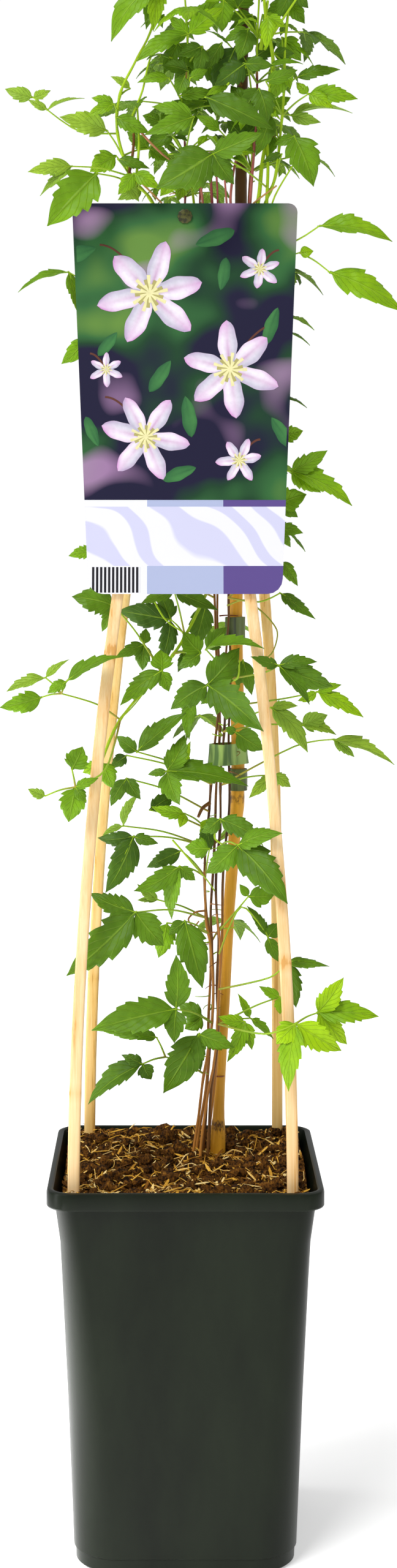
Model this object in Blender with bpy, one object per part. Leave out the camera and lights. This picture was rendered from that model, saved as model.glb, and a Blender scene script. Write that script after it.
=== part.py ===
"""Clematis climbing a trellis of four bamboo slats in a square nursery pot.

Metres, +Z up. The origin is the middle of the pot's base, and the plant's front faces -Y.
"""

import math
import random

import bmesh
import bpy
from mathutils import Vector
from mathutils.geometry import convex_hull_2d

MM = 0.001
GAP = 0.0003  # between pieces that touch

# Pot: rounded squares stacked from the base up.
POT_HEIGHT = 0.210
RIM_HALF = 0.075
RIM_DEPTH = 0.0095
RIM_LIP = 0.0035
WALL = 0.0013
FLOOR = 0.0018
FOOT_STEP = 0.009
# Height, half width and corner radius of the outside, below the rim.
POT_SECTIONS = (
    (0.0015, 0.0600, 0.024),
    (FOOT_STEP - 0.001, 0.0603, 0.024),
    (FOOT_STEP, 0.0612, 0.024),
    (0.090, 0.0641, 0.020),
    (0.157, 0.0669, 0.015),
    (0.180, 0.0679, 0.012),
    (POT_HEIGHT - RIM_DEPTH, 0.0705, 0.011),
)
RIM_CORNER = 0.013
CORNER_STEPS = 3
DRAIN_RADIUS = 0.005
DRAIN_OFFSET = 0.036

# Potting mix, up to just under the rim.
SOIL_TOP = 0.203
SOIL_BUMP = 0.0022
SOIL_RINGS = (1.0, 0.82, 0.60, 0.38, 0.16)

# Trellis: four split bamboo slats, upright in the corners and drawn together at the top.
SLAT_WIDTH = 0.0064
SLAT_THICK = 0.0036
SLAT_FOOT = 0.110
SLAT_LEAN = 0.065
SLAT_STRAIGHT = 0.200  # height where the bow starts
SLAT_GATHER = 0.720  # height where the slats meet
SLAT_TOP = 0.748
SLAT_TOP_X = 0.005
SLAT_TOP_Y = 0.0032
# Name, side of the plant in x and y, foot x and y, and how late the bow comes in.
SLATS = (
    ("slat_front_left", -1, -1, 0.0605, 0.0600, 1.9),
    ("slat_front_right", 1, -1, 0.0580, 0.0600, 1.9),
    ("slat_back_left", -1, 1, 0.0560, 0.0580, 1.9),
    ("slat_back_right", 1, 1, 0.0550, 0.0580, 4.0),
)
TIE_LOW, TIE_HIGH = 0.724, 0.736
TIE_THICK = 0.0010

# Cane behind the stems: points along it with its radius, in millimetres.
CANE = (
    (18.4, 22, 70, 3.6),
    (19.1, 22, 200, 4.2),
    (19.3, 22, 222, 4.0),
    (19.6, 22, 229, 3.1),
    (20.1, 22, 245, 3.1),
    (23.0, 22, 296, 3.1),
    (25.5, 22, 347, 3.3),
    (29.4, 22, 398, 3.6),
    (30.3, 22, 406, 4.1),
    (30.5, 22, 413, 3.9),
    (30.8, 22, 438, 3.9),
    (29.3, 21.5, 519, 3.9),
    (31.4, 19, 600, 3.7),
    (32.3, 18.5, 655, 3.6),
    (32.4, 20, 768, 3.4),
    (34.0, 20, 872, 3.0),
)
CANE_SIDES = 8

# Green plastic bands: name, lowest and highest point, and the stems they hold to the cane.
BANDS = (
    ("band_low", 0.4315, 0.4435, ("vine_3", "vine_4", "vine_5", "vine_6")),
    ("band_high", 0.5030, 0.5160, ("vine_6",)),
    ("cane_tape", 0.4160, 0.4285, ()),
)
BAND_THICK = 0.0007
BAND_SLACK = 0.0006
BAND_KEEP = (426, 450)  # no stalk leaves a stem here

# Card label, wider at the top, leaning on the two front slats.
LABEL_TOP_HALF = 0.0634
LABEL_LOW_HALF = 0.0536
LABEL_LOW = 0.5302
LABEL_TOP = 0.7498
LABEL_THICK = 0.0008
LABEL_TOP_RADIUS = 0.005
LABEL_LOW_RADIUS = 0.0085
PIN_HEIGHT = 0.7428
PIN_RADIUS = 0.0015
PIN_HEAD = 0.0027
PIN_PROUD = 0.0012

# The front view is drawn from here: a point of the drawing lies on the plane y = 0.
VIEWPOINT = Vector((-7.2, -1297.0, 552.0))

# Stems, each a list of (x, y, z) points in millimetres, with the side shoots that leave them.
VINES = {
    "vine_1": (
        ((3.5, 10, 172), (5, 10, 212), (9.5, 9, 245), (13, 8, 264), (15.3, 7, 285),
         (15.5, 6.5, 325), (12, 6, 345), (10.5, 5, 372)),
    ),
    "vine_2": (
        ((8, 4, 172), (9.5, 4, 212), (12.5, 3.5, 245), (16, 3, 262), (19, 2.5, 285),
         (19.5, 2, 325), (18, 1, 348)),
    ),
    "vine_3": (
        ((6, 17, 172), (7.5, 17, 212), (11.5, 15, 245), (13.6, 14, 264), (14.2, 13, 290),
         (14.2, 12.5, 330), (12.5, 12, 350), (11.5, 12, 385), (13.5, 12, 405), (17, 12, 437),
         (19, 12, 465), (19.5, 12, 500), (18, 13, 545), (14, 22, 600), (11, 26, 640),
         (9, 17, 700), (9, 12, 750), (8, 9, 774)),
        ((18.3, 13, 540), (0, -6, 506), (-14, -14, 487), (-36, -26, 460), (-46, -30, 437)),
    ),
    "vine_4": (
        ((11.5, 11, 172), (12.8, 11, 212), (15.5, 10, 245), (17.4, 8.5, 264), (18.8, 8, 290),
         (18.8, 8, 330), (18, 7.5, 350), (19, 7, 385), (20, 7, 405), (21.5, 7, 437),
         (22.5, 7, 465), (24, 7, 500), (25, 6, 560), (23, 4, 640), (20, 0, 710), (17, -6, 775)),
    ),
    "vine_5": (
        ((9, 22, 172), (10.5, 22, 212), (13, 21, 245), (14.8, 19.5, 264), (15.8, 18.5, 290),
         (15.8, 18, 330), (15.5, 17.5, 350), (16.5, 18, 385), (18, 18, 405), (19.5, 17.5, 437),
         (19.5, 17.5, 465), (18.5, 18, 500), (14, 20, 560), (5, 28, 640), (1, 20, 700),
         (0, 14, 735), (0, 12, 780), (1, 8, 830), (0, 6, 875), (-4, 5, 902)),
        ((1, 20, 702), (-10, 14, 735), (-20, 4, 754), (-31, -2, 766), (-38, -3, 790),
         (-36, -4, 812),
         (-28, -5, 830), (-19, -6, 850), (-14, -6, 880), (-12, -4, 897)),
    ),
    "vine_6": (
        ((13.5, 16.5, 172), (14, 16.5, 212), (16.2, 15.5, 245), (17.8, 14.5, 264),
         (19.6, 13.6, 290), (20.6, 13.2, 330), (21.5, 13, 350), (23.5, 13, 385),
         (24.8, 13, 405), (25.5, 13, 437), (26, 13, 465), (25.5, 13, 500), (26, 12, 560),
         (28, 9, 640), (33, 6, 710), (38, 5, 770), (41, 4, 820), (42, 3, 870), (41, 3, 912)),
        ((33.8, 6, 718), (44, 0, 748), (52, -4, 768), (55, -4, 800), (56, -2, 830), (60, 2, 868)),
    ),
}
STEM_RADIUS = 1.15
SHOOT_RADIUS = 1.05
STALK_RADIUS = 0.62
STEM_SIDES = 4
STALK_SIDES = 3
STALK_STEPS = 2

# Leaves of each stem as the front view shows them, in millimetres. A leaf is its hub, where
# the leaflets meet, as (across, up, depth), then each leaflet's tip as (across, up), the
# width that shows, and how far the tip lies behind the hub. A leaf with "from" set grows
# from that other hub, and "via" is a point that its stalk passes.
LEAVES = {
    "vine_1": (
        dict(hub=(-5, 294, -20), tips=((-53, 283, 17, -4), (-5, 325, 15, 4), (-6, 275, 13, -5))),
        dict(hub=(-11, 267, -4), tips=()),
        dict(hub=(-24, 263, -8), tips=((-56, 241, 11, 4), (-36, 268, 8, 0), (-19, 254, 10, 0)),
             start=1),
        dict(hub=(-16, 278, 0), tips=((-46, 281, 4, 5), (-30, 281, 6, -5)), start=1),
        dict(hub=(8, 280, -10), tips=((28, 272, 12, -4), (-12, 246, 20, -4), (9, 259, 9, -1))),
        dict(hub=(10, 290, 10), tips=((-4, 297, 12, 4), (0, 283, 10, 5))),
        dict(hub=(-28, 349, -36),
             tips=((-67, 313, 19, -3), (-54, 360, 13, 4), (-12, 330, 17, 6))),
        dict(hub=(0, 344, -14), tips=((10, 306, 18, -4), (-9, 336, 8, 2))),
        dict(hub=(-10, 343, -4), tips=((-15, 323, 13, 0),)),
        dict(hub=(-15, 356, 3), tips=((-27, 365, 6, 0), (-27, 356, 4, 6))),
    ),
    "vine_2": (
        dict(hub=(34, 287, -6), tips=((24, 264, 10, -4), (38, 271, 8, 0), (19, 290, 8, -3))),
        dict(hub=(37, 289, 4), tips=((30, 303, 5, 2), (50, 277, 5, 3))),
        dict(hub=(63, 286, -71), via=(45, 280, -66),
             tips=((52, 274, 13, -1), (58, 247, 14, -3), (89, 270, 15, 1))),
        dict(hub=(75, 292, -69), start=2,
             tips=((90, 312, 12, 0), (110, 290, 12, 2), (92, 274, 12, 4))),
        dict(hub=(47, 335, 6), via=(32, 352, 0),
             tips=((36, 353, 5, 2), (53, 321, 8, 0), (53, 343, 9, 4))),
        dict(hub=(36, 358, 6), via=(31, 352, 2), tips=((31, 365, 5, 0), (51, 359, 12, 2))),
        dict(hub=(54, 301, -4), via=(40, 296, -2), tips=((42, 307, 6, 0), (54, 291, 7, 0))),
        dict(hub=(58, 321, -40), via=(48, 312, -24), tips=((63, 295, 12, 2), (82, 319, 6, -3))),
    ),
    "vine_3": (
        dict(hub=(-3, 375, -8), tips=((-29, 361, 12, 1), (6, 367, 8, 3), (-8, 345, 9, 5))),
        dict(hub=(-2, 384, 2), tips=((-22, 374, 10, 5),)),
        dict(hub=(-29, 392, -6),
             tips=((-45, 360, 16, -4), (-50, 391, 9, 5), (-15, 388, 7, -3))),
        dict(hub=(-35, 398, 8), tips=((-26, 416, 5, 0), (-47, 392, 4, 4))),
        dict(hub=(0, 405, -2), tips=((-19, 409, 8, 0), (-3, 397, 6, -1))),
        dict(hub=(-20, 407, 8), tips=((-5, 417, 10, 5),)),
        dict(hub=(-10, 429, -14),
             tips=((0, 450, 13, 4), (36, 420, 13, -2), (-3, 410, 14, -4), (-21, 427, 5, 4))),
        dict(hub=(-27, 440, -10), tips=((1, 462, 10, -5), (-39, 449, 9, 4))),
        dict(hub=(-33, 425, -2), tips=((-42, 409, 9, 2), (-25, 413, 9, -3))),
        dict(hub=(-62, 420, -62), via=(-45, 430, -58),
             tips=((-66, 400, 15, 0), (-49, 425, 6, -3), (-56, 411, 7, -2))),
        dict(hub=(-64, 430, -60), start=9, tips=((-58, 443, 14, 2),)),
        dict(hub=(-79, 415, -60), start=9, tips=((-89, 419, 6, 0),)),
        dict(hub=(-47, 434, -26), tips=((-41, 419, 12, 3), (-58, 428, 9, 3))),
        dict(hub=(-70, 473, -44), via=(-50, 467, -30), tips=()),
        dict(hub=(-67, 480, -50), start=13, tips=((-34, 496, 9, -4), (-78, 473, 7, 2))),
        dict(hub=(-81, 471, -44), start=13, tips=((-105, 465, 12, -4),)),
        dict(hub=(-79, 482, -42), start=13, tips=((-66, 493, 5, 2), (-101, 474, 5, -3))),
        dict(hub=(-13, 486, -20),
             tips=((-37, 467, 11, -4), (-9, 474, 9, 1), (-14, 498, 13, 3))),
        dict(hub=(-23, 501, -8), tips=((-39, 494, 8, -2), (-24, 486, 10, 3), (-22, 510, 7, 3))),
        dict(hub=(6, 470, -6), tips=((1, 447, 7, 2),)),
        dict(hub=(-8, 515, 8), tips=((-38, 520, 16, 5), (-13, 530, 12, 5), (-14, 490, 11, 4))),
        dict(hub=(9, 496, -12), tips=((-1, 508, 13, 2), (-4, 487, 9, 4))),
        dict(hub=(12, 523, 2), tips=((5, 498, 14, 4),)),
        dict(hub=(-40, 523, -20), tips=((-64, 528, 16, 0), (-47, 508, 8, 2))),
        dict(hub=(-6, 531, -14), tips=((19, 521, 10, -3), (-25, 524, 8, 0))),
    ),
    "vine_4": (
        dict(hub=(30, 387, -44),
             tips=((58, 354, 20, -20), (12, 371, 14, 6), (55, 394, 10, -17))),
        dict(hub=(20, 402, -24), tips=((45, 389, 12, -10), (9, 394, 9, 4))),
        dict(hub=(13, 478, -34), tips=((31, 499, 17, 4), (44, 452, 20, -17), (-8, 464, 15, 0))),
        dict(hub=(12, 498, -26), tips=((44, 501, 7, -23), (24, 511, 11, 4))),
        dict(hub=(29, 451, -8), tips=((45, 441, 14, -1), (23, 454, 5, 1))),
        dict(hub=(53, 489, -44), via=(45, 485, -30),
             tips=((37, 494, 7, -9), (75, 491, 7, 1), (71, 467, 9, -5), (84, 477, 15, 10))),
        dict(hub=(75, 474, -8), via=(55, 470, -4),
             tips=((89, 478, 6, 0), (102, 461, 8, -3), (64, 469, 6, 3))),
        dict(hub=(49, 465, -12), tips=((70, 440, 10, -5), (64, 466, 5, 3))),
        dict(hub=(66, 455, 6), tips=((81, 461, 12, 2), (86, 450, 5, 0))),
        dict(hub=(84, 447, -2), via=(62, 443, 0), tips=((119, 433, 7, -2), (96, 437, 6, 3))),
        dict(hub=(50, 427, 4), tips=((36, 414, 7, 0), (60, 420, 8, 3))),
        dict(hub=(54, 530, -16), via=(42, 525, -14), tips=((74, 515, 8, -4),)),
        dict(hub=(54, 548, -14), tips=((64, 534, 8, -2),)),
        dict(hub=(53, 567, -16), tips=((60, 556, 7, 0), (67, 564, 8, -3))),
    ),
    "vine_5": (
        dict(hub=(-66, 712, -10), via=(-40, 700, -2), tips=((-60, 687, 8, 2), (-95, 702, 6, -3))),
        dict(hub=(-56, 674, 0), tips=((-70, 660, 11, 0), (-48, 660, 9, 4))),
        dict(hub=(-52, 554, 2), tips=((-66, 551, 8, 0), (-42, 545, 9, 5))),
        dict(hub=(-50, 768, -22), tips=((-78, 738, 24, -6), (-56, 752, 9, 5))),
        dict(hub=(-64, 772, -8), tips=((-89, 769, 10, -2), (-82, 755, 8, 4))),
        dict(hub=(-39, 778, 4), tips=((-54, 769, 13, 2),)),
        dict(hub=(-44, 792, -4), tips=((-71, 800, 14, -3),)),
        dict(hub=(-78, 804, 2), via=(-60, 792, 4), tips=((-57, 811, 5, -3), (-89, 810, 5, 0))),
        dict(hub=(-86, 811, 2), start=7, tips=((-102, 816, 9, 2), (-76, 815, 6, -2))),
        dict(hub=(-40, 807, -6), tips=((-53, 811, 7, 1), (-56, 800, 7, -3))),
        dict(hub=(-9, 822, -8), tips=((-27, 820, 7, 0),)),
        dict(hub=(-31, 816, 2), tips=((-42, 823, 5, 0),)),
        dict(hub=(2, 847, -10),
             tips=((-27, 831, 11, -4), (-9, 857, 8, 3), (22, 862, 12, 2))),
        dict(hub=(-4, 842, 4), tips=((-12, 824, 10, 0), (9, 824, 12, 3))),
        dict(hub=(-13, 878, -8), tips=((-43, 845, 16, -4), (-18, 849, 12, -1))),
        dict(hub=(5, 800, -18), tips=((-23, 790, 12, -4), (-19, 806, 10, 4))),
        dict(hub=(-29, 768, -14), tips=((-14, 759, 9, -3), (-38, 756, 9, 2))),
        dict(hub=(8, 838, 8), tips=((-6, 818, 13, 2), (21, 815, 15, 4))),
        dict(hub=(10, 815, 12), tips=((-3, 797, 13, 2), (27, 801, 15, 3))),
        dict(hub=(-22, 873, 2), tips=((-44, 880, 13, 2), (-28, 893, 11, 2))),
    ),
    "vine_6": (
        dict(hub=(53, 580, 2), tips=((69, 586, 14, 0), (64, 573, 9, 2))),
        dict(hub=(60, 599, -2), tips=((95, 580, 10, -4), (77, 587, 12, 4), (81, 611, 11, 0))),
        dict(hub=(55, 619, 0), tips=((67, 622, 10, 0),)),
        dict(hub=(76, 738, -12), via=(58, 728, -6), tips=((118, 732, 12, -4),)),
        dict(hub=(65, 723, -8), tips=((73, 724, 7, 0),)),
        dict(hub=(82, 712, -10), start=4, tips=((124, 689, 18, -2),)),
        dict(hub=(16, 779, -36), tips=((44, 791, 14, -4), (28, 762, 13, 1), (-16, 760, 26, -4))),
        dict(hub=(12, 811, -26), tips=((50, 793, 16, -3),)),
        dict(hub=(42, 816, -16), tips=((47, 797, 14, -3), (33, 801, 12, -1))),
        dict(hub=(62, 789, -10), tips=((73, 761, 20, -3), (50, 784, 7, 1))),
        dict(hub=(70, 813, -8), tips=((98, 810, 11, 0), (84, 805, 9, -4), (63, 820, 6, 3))),
        dict(hub=(60, 801, 2), tips=((95, 804, 7, 2), (77, 797, 8, -4))),
        dict(hub=(63, 822, 8), tips=((88, 827, 8, 0),)),
        dict(hub=(57, 826, -10), tips=((50, 810, 13, -2), (60, 816, 8, -3))),
        dict(hub=(34, 830, -16), tips=((50, 829, 9, -2), (17, 818, 16, 0))),
        dict(hub=(55, 845, 4), tips=((66, 832, 13, 1), (74, 830, 5, 4))),
        dict(hub=(36, 850, -6), tips=((30, 832, 13, -2), (22, 843, 8, 0))),
        dict(hub=(47, 857, -12), tips=((46, 838, 9, -2), (57, 851, 7, 1))),
        dict(hub=(59, 865, 4), tips=((68, 853, 10, 0), (45, 856, 11, 3))),
        dict(hub=(22, 866, -6), tips=((6, 880, 14, 3), (36, 885, 14, 2), (21, 848, 13, 3))),
        dict(hub=(54, 877, -4), tips=((72, 889, 13, 2), (46, 893, 12, -3), (76, 871, 12, 2))),
    ),
}

# Leaflets: the blade is this share of its length at its widest, unless more shows.
BLADE_RATIO = 0.40
BLADE_THICK = 0.7
BLADE_ARCH = 0.07
# One side's outline, as shares of the length and of the half width, from a given length on.
SIDES = (
    (28.5, ((0.20, 0.44), (0.43, 1.0), (0.53, 0.72), (0.73, 0.58))),
    (16.0, ((0.24, 0.52), (0.45, 1.0), (0.62, 0.66))),
    (0.0, ((0.36, 0.88), (0.64, 0.70))),
)
CLEAR_REACH = 0.44  # leaflets of one hub are apart from this share of their length
STEP_BACK = 1.6
STALK_HALF = 0.55
STALK_ROOT = 0.5  # how slim a stalk is inside its stem
STALK_TURN = 0.3

# Leaves that the front view doesn't show: stem, first and last height, first and last
# direction round the stem in degrees from +x, and how many.
HIDDEN = (
    ("vine_5", 300, 520, 70, 250, 4),
    ("vine_5", 545, 735, 60, 265, 5),
    ("vine_3", 560, 690, 170, 290, 2),
    ("vine_4", 560, 700, -80, 40, 2),
    ("vine_6", 560, 735, -20, 110, 3),
    ("vine_5", 755, 860, 60, 260, 4),
    ("vine_6", 755, 860, -40, 150, 3),
    ("vine_5", 880, 902, 40, 320, 2),
    ("vine_6", 880, 912, 0, 220, 2),
)
HIDDEN_SEED = 11
KEEP_CLEAR = 5.0
SETTLE_STEPS = (0, 4, -4, 8, -8, 12, -12)
SETTLE_CLEAR = 3.6
BAR_CLEAR = 5.5
TURN_ON = 13.0
TURNS = 27


def clear_scene():
    """Empties the scene of whatever it opens with."""
    for obj in list(bpy.data.objects):
        bpy.data.objects.remove(obj)


def finish_of(name, colour, roughness):
    """A plain material with a colour and a roughness."""
    material = bpy.data.materials.new(name)
    material.use_nodes = True
    shader = material.node_tree.nodes["Principled BSDF"]
    shader.inputs["Base Color"].default_value = (*colour, 1.0)
    shader.inputs["Roughness"].default_value = roughness
    return material


def add_object(name, shape, material):
    """One mesh object from (points, faces)."""
    points, faces = shape
    mesh = bpy.data.meshes.new(name)
    mesh.from_pydata([tuple(point) for point in points], [], faces)
    mesh.validate()
    mesh.materials.append(material)
    obj = bpy.data.objects.new(name, mesh)
    bpy.context.scene.collection.objects.link(obj)
    return obj


def loft(rings, closed=False):
    """A skin over rings of equal length, capped at both ends or closed into a loop."""
    count = len(rings[0])
    points = [point for ring in rings for point in ring]
    faces = []
    last = len(rings) if closed else len(rings) - 1
    for r in range(last):
        low, high = r * count, (r + 1) % len(rings) * count
        for i in range(count):
            j = (i + 1) % count
            faces.append((low + i, low + j, high + j, high + i))
    if not closed:
        faces.append(tuple(range(count - 1, -1, -1)))
        faces.append(tuple(range(len(points) - count, len(points))))
    return points, faces


def apply_boolean(obj, parts, operation, solver="EXACT"):
    """Joins or cuts obj with the parts, which are then removed."""
    helpers = bpy.data.collections.new("helpers")
    bpy.context.scene.collection.children.link(helpers)
    for part in parts:
        bpy.context.scene.collection.objects.unlink(part)
        helpers.objects.link(part)
    modifier = obj.modifiers.new("join", "BOOLEAN")
    modifier.operation = operation
    modifier.operand_type = "COLLECTION"
    modifier.collection = helpers
    modifier.solver = solver
    graph = bpy.context.evaluated_depsgraph_get()
    joined = bpy.data.meshes.new_from_object(obj.evaluated_get(graph))
    obj.modifiers.clear()
    obj.data = joined
    for part in parts:
        bpy.data.objects.remove(part)
    bpy.data.collections.remove(helpers)


def rounded_square(half, radius, height):
    """Points round a square with round corners."""
    points = []
    for quarter in range(4):
        for step in range(CORNER_STEPS + 1):
            angle = math.pi / 2 * (quarter + step / CORNER_STEPS)
            side_x = 1 if quarter in (0, 3) else -1
            side_y = 1 if quarter in (0, 1) else -1
            x = side_x * (half - radius) + radius * math.cos(angle)
            y = side_y * (half - radius) + radius * math.sin(angle)
            points.append(Vector((x, y, height)))
    return points


def inner_section(height, half, radius, inset):
    """A section of the pot moved in by inset."""
    return rounded_square(half - inset, radius - inset, height)


def make_pot(material):
    """Tapered square pot with a foot step, a turned-over rim and drain holes."""
    low_height, low_half, low_radius = POT_SECTIONS[0]
    rim_low = POT_HEIGHT - RIM_DEPTH
    rings = [rounded_square(low_half - 0.0015, low_radius, 0.0)]
    rings += [rounded_square(half, radius, height) for height, half, radius in POT_SECTIONS]
    rings.append(rounded_square(RIM_HALF - 0.0006, RIM_CORNER, rim_low))
    rings.append(rounded_square(RIM_HALF, RIM_CORNER, rim_low + 0.0008))
    rings.append(rounded_square(RIM_HALF, RIM_CORNER, POT_HEIGHT - 0.0010))
    rings.append(rounded_square(RIM_HALF - 0.0010, RIM_CORNER, POT_HEIGHT))
    rings.append(rounded_square(RIM_HALF - RIM_LIP, RIM_CORNER - RIM_LIP, POT_HEIGHT))
    for height, half, radius in reversed(POT_SECTIONS[3:]):
        rings.append(inner_section(height, half, radius, WALL))
    rings.append(inner_section(FLOOR, low_half, low_radius, WALL))
    pot = add_object("pot", loft(rings), material)
    drains = []
    for x, y in ((-1, -1), (-1, 1), (1, -1), (1, 1)):
        centre = Vector((x * DRAIN_OFFSET, y * DRAIN_OFFSET, 0))
        ends = [(centre + Vector((0, 0, z)), DRAIN_RADIUS) for z in (-0.004, FLOOR + 0.002)]
        drains.append(add_object("drain", round_rod(ends, 8), material))
    apply_boolean(pot, drains, "DIFFERENCE")
    return pot


def round_rod(ends, sides):
    """An upright rod through (centre, radius) pairs, each ring level."""
    turn = math.tau / sides
    rings = []
    for centre, radius in ends:
        rings.append([
            centre + Vector((radius * math.cos(turn * i), radius * math.sin(turn * i), 0))
            for i in range(sides)
        ])
    return loft(rings)


def soil_height(x, y):
    """Height of the potting mix: a low mound with soft lumps, higher at the back."""
    lumps = math.sin(x * 95 + 1.0) * math.cos(y * 80 - 0.4) + 0.5 * math.sin((x + y) * 170)
    return SOIL_TOP + SOIL_BUMP * lumps + 0.012 * y


def make_soil(material, cutters):
    """Potting mix that fills the pot, with plain holes for what stands in it."""
    fill = WALL + GAP
    rings = [inner_section(FLOOR + GAP, *POT_SECTIONS[0][1:], fill)]
    rings += [inner_section(height, half, radius, fill) for height, half, radius in
              POT_SECTIONS[3:-1]]
    below, above = POT_SECTIONS[-2], POT_SECTIONS[-1]
    share = (SOIL_TOP - 0.004 - below[0]) / (above[0] - below[0])
    edge_half = below[1] + share * (above[1] - below[1])
    edge_radius = below[2] + share * (above[2] - below[2])
    rings.append(inner_section(SOIL_TOP - 0.004, edge_half, edge_radius, fill))
    edge = rings[-1]
    for scale in SOIL_RINGS[1:]:
        rings.append([
            Vector((p.x * scale, p.y * scale, soil_height(p.x * scale, p.y * scale)))
            for p in edge
        ])
    soil = add_object("potting_mix", loft(rings), material)
    apply_boolean(soil, cutters, "DIFFERENCE")
    return soil


def slat_centre(slat, height):
    """Middle of a slat at a height: it follows the pot's taper below and bows in above."""
    _, side_x, side_y, foot_x, foot_y, late = slat
    taper = SLAT_LEAN * max(0.0, SLAT_STRAIGHT - height)
    share = (height - SLAT_STRAIGHT) / (SLAT_GATHER - SLAT_STRAIGHT)
    bow = min(1.0, max(0.0, share)) ** late
    x = side_x * (foot_x + (SLAT_TOP_X - foot_x) * bow - taper)
    y = side_y * (foot_y + (SLAT_TOP_Y - foot_y) * bow - taper)
    return Vector((x, y, height))


def slat_section(centre, grow=0.0):
    """Outline of a slat: a flat strip with its edges taken off."""
    half_x, half_y = SLAT_WIDTH / 2 + grow, SLAT_THICK / 2 + grow
    edge = 0.001
    corners = (
        (half_x, half_y - edge), (half_x - edge, half_y),
        (edge - half_x, half_y), (-half_x, half_y - edge),
        (-half_x, edge - half_y), (edge - half_x, -half_y),
        (half_x - edge, -half_y), (half_x, edge - half_y),
    )
    return [centre + Vector((x, y, 0)) for x, y in corners]


def make_slat(slat, material):
    """One bowed bamboo slat."""
    heights = [SLAT_FOOT, SLAT_STRAIGHT]
    bends = 8
    heights += [
        SLAT_STRAIGHT + (SLAT_GATHER - SLAT_STRAIGHT) * i / bends for i in range(1, bends + 1)
    ]
    heights.append(SLAT_TOP)
    return add_object(
        slat[0], loft([slat_section(slat_centre(slat, z)) for z in heights]), material
    )


def slat_hole(slat, material):
    """Cutter for the hole that a slat stands in."""
    heights = (SLAT_FOOT - GAP, SLAT_STRAIGHT, SLAT_STRAIGHT + 0.02)
    rings = [slat_section(slat_centre(slat, z), GAP) for z in heights]
    return add_object("hole", loft(rings), material)


def make_cane(material):
    """The bamboo cane, thicker at its joints."""
    points = [(Vector((x, y, z)) * MM, radius * MM) for x, y, z, radius in CANE]
    return add_object("cane", round_rod(points, CANE_SIDES), material)


def cane_hole(material):
    """Cutter for the hole that the cane stands in."""
    ends = [
        (Vector((x, y, z)) * MM, (radius * MM + GAP) / math.cos(math.pi / CANE_SIDES))
        for x, y, z, radius in CANE[:3]
    ]
    ends[0] = (ends[0][0] - Vector((0, 0, GAP)), ends[0][1])
    return add_object("hole", round_rod(ends, CANE_SIDES), material)


def make_ring(name, outline, low, high, thick, material):
    """A band: an outline as (x, y) points, thick walls, between two heights."""
    count = len(outline)
    middle = Vector((sum(p[0] for p in outline), sum(p[1] for p in outline))) / count
    outer = []
    for i, point in enumerate(outline):
        before, after = Vector(outline[i - 1]), Vector(outline[(i + 1) % count])
        along = (after - before).normalized()
        out = Vector((along.y, -along.x))
        if out.dot(Vector(point) - middle) < 0:
            out = -out
        outer.append(Vector(point) + out * thick)
    rings = [
        [Vector((x, y, low)) for x, y in outline],
        [Vector((p.x, p.y, low)) for p in outer],
        [Vector((p.x, p.y, high)) for p in outer],
        [Vector((x, y, high)) for x, y in outline],
    ]
    return add_object(name, loft(rings, closed=True), material)


def round_hull(circles, steps=10):
    """Outline pulled tight round circles of (x, y, radius), anticlockwise."""
    cloud = []
    for x, y, radius in circles:
        for i in range(steps):
            angle = math.tau * i / steps
            cloud.append((x + radius * math.cos(angle), y + radius * math.sin(angle)))
    order = convex_hull_2d(cloud)
    outline = [cloud[i] for i in order]
    area = sum(
        a[0] * b[1] - b[0] * a[1] for a, b in zip(outline, outline[1:] + outline[:1])
    )
    return outline if area > 0 else outline[::-1]


def path_at(path, height):
    """Point of a list of points where it passes a height, in metres."""
    for low, high in zip(path, path[1:]):
        if low[2] <= height / MM <= high[2]:
            share = (height / MM - low[2]) / (high[2] - low[2])
            return Vector(low[:3]).lerp(Vector(high[:3]), share) * MM
    raise ValueError("the path doesn't reach that height")


def make_band(band, material):
    """A plastic band round the cane and the stems that it holds."""
    name, low, high, held = band
    circles = []
    for height in (low, (low + high) / 2, high):
        cane = path_at(CANE, height)
        circles.append((cane.x, cane.y, 0.0041 + BAND_SLACK))
        for vine in held:
            stem = path_at(VINES[vine][0], height)
            circles.append((stem.x, stem.y, STEM_RADIUS * MM + BAND_SLACK))
    return make_ring(name, round_hull(circles), low, high, BAND_THICK, material)


def label_back(height):
    """Depth of the label's back face: it leans on the front slats and clears their tie."""
    front = [
        (slat_centre(SLATS[0], z), z) for z in
        [LABEL_LOW + (LABEL_TOP - LABEL_LOW) * i / 20 for i in range(21)]
    ]
    low, high = front[0][0].y, front[-1][0].y
    slope = (high - low) / (LABEL_TOP - LABEL_LOW)
    bulge = max(low + slope * (z - LABEL_LOW) - p.y for p, z in front)
    bulge = max(bulge + SLAT_THICK / 2, SLAT_THICK / 2 + TIE_THICK + 3 * GAP)
    return low + slope * (height - LABEL_LOW) - bulge - GAP


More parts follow.
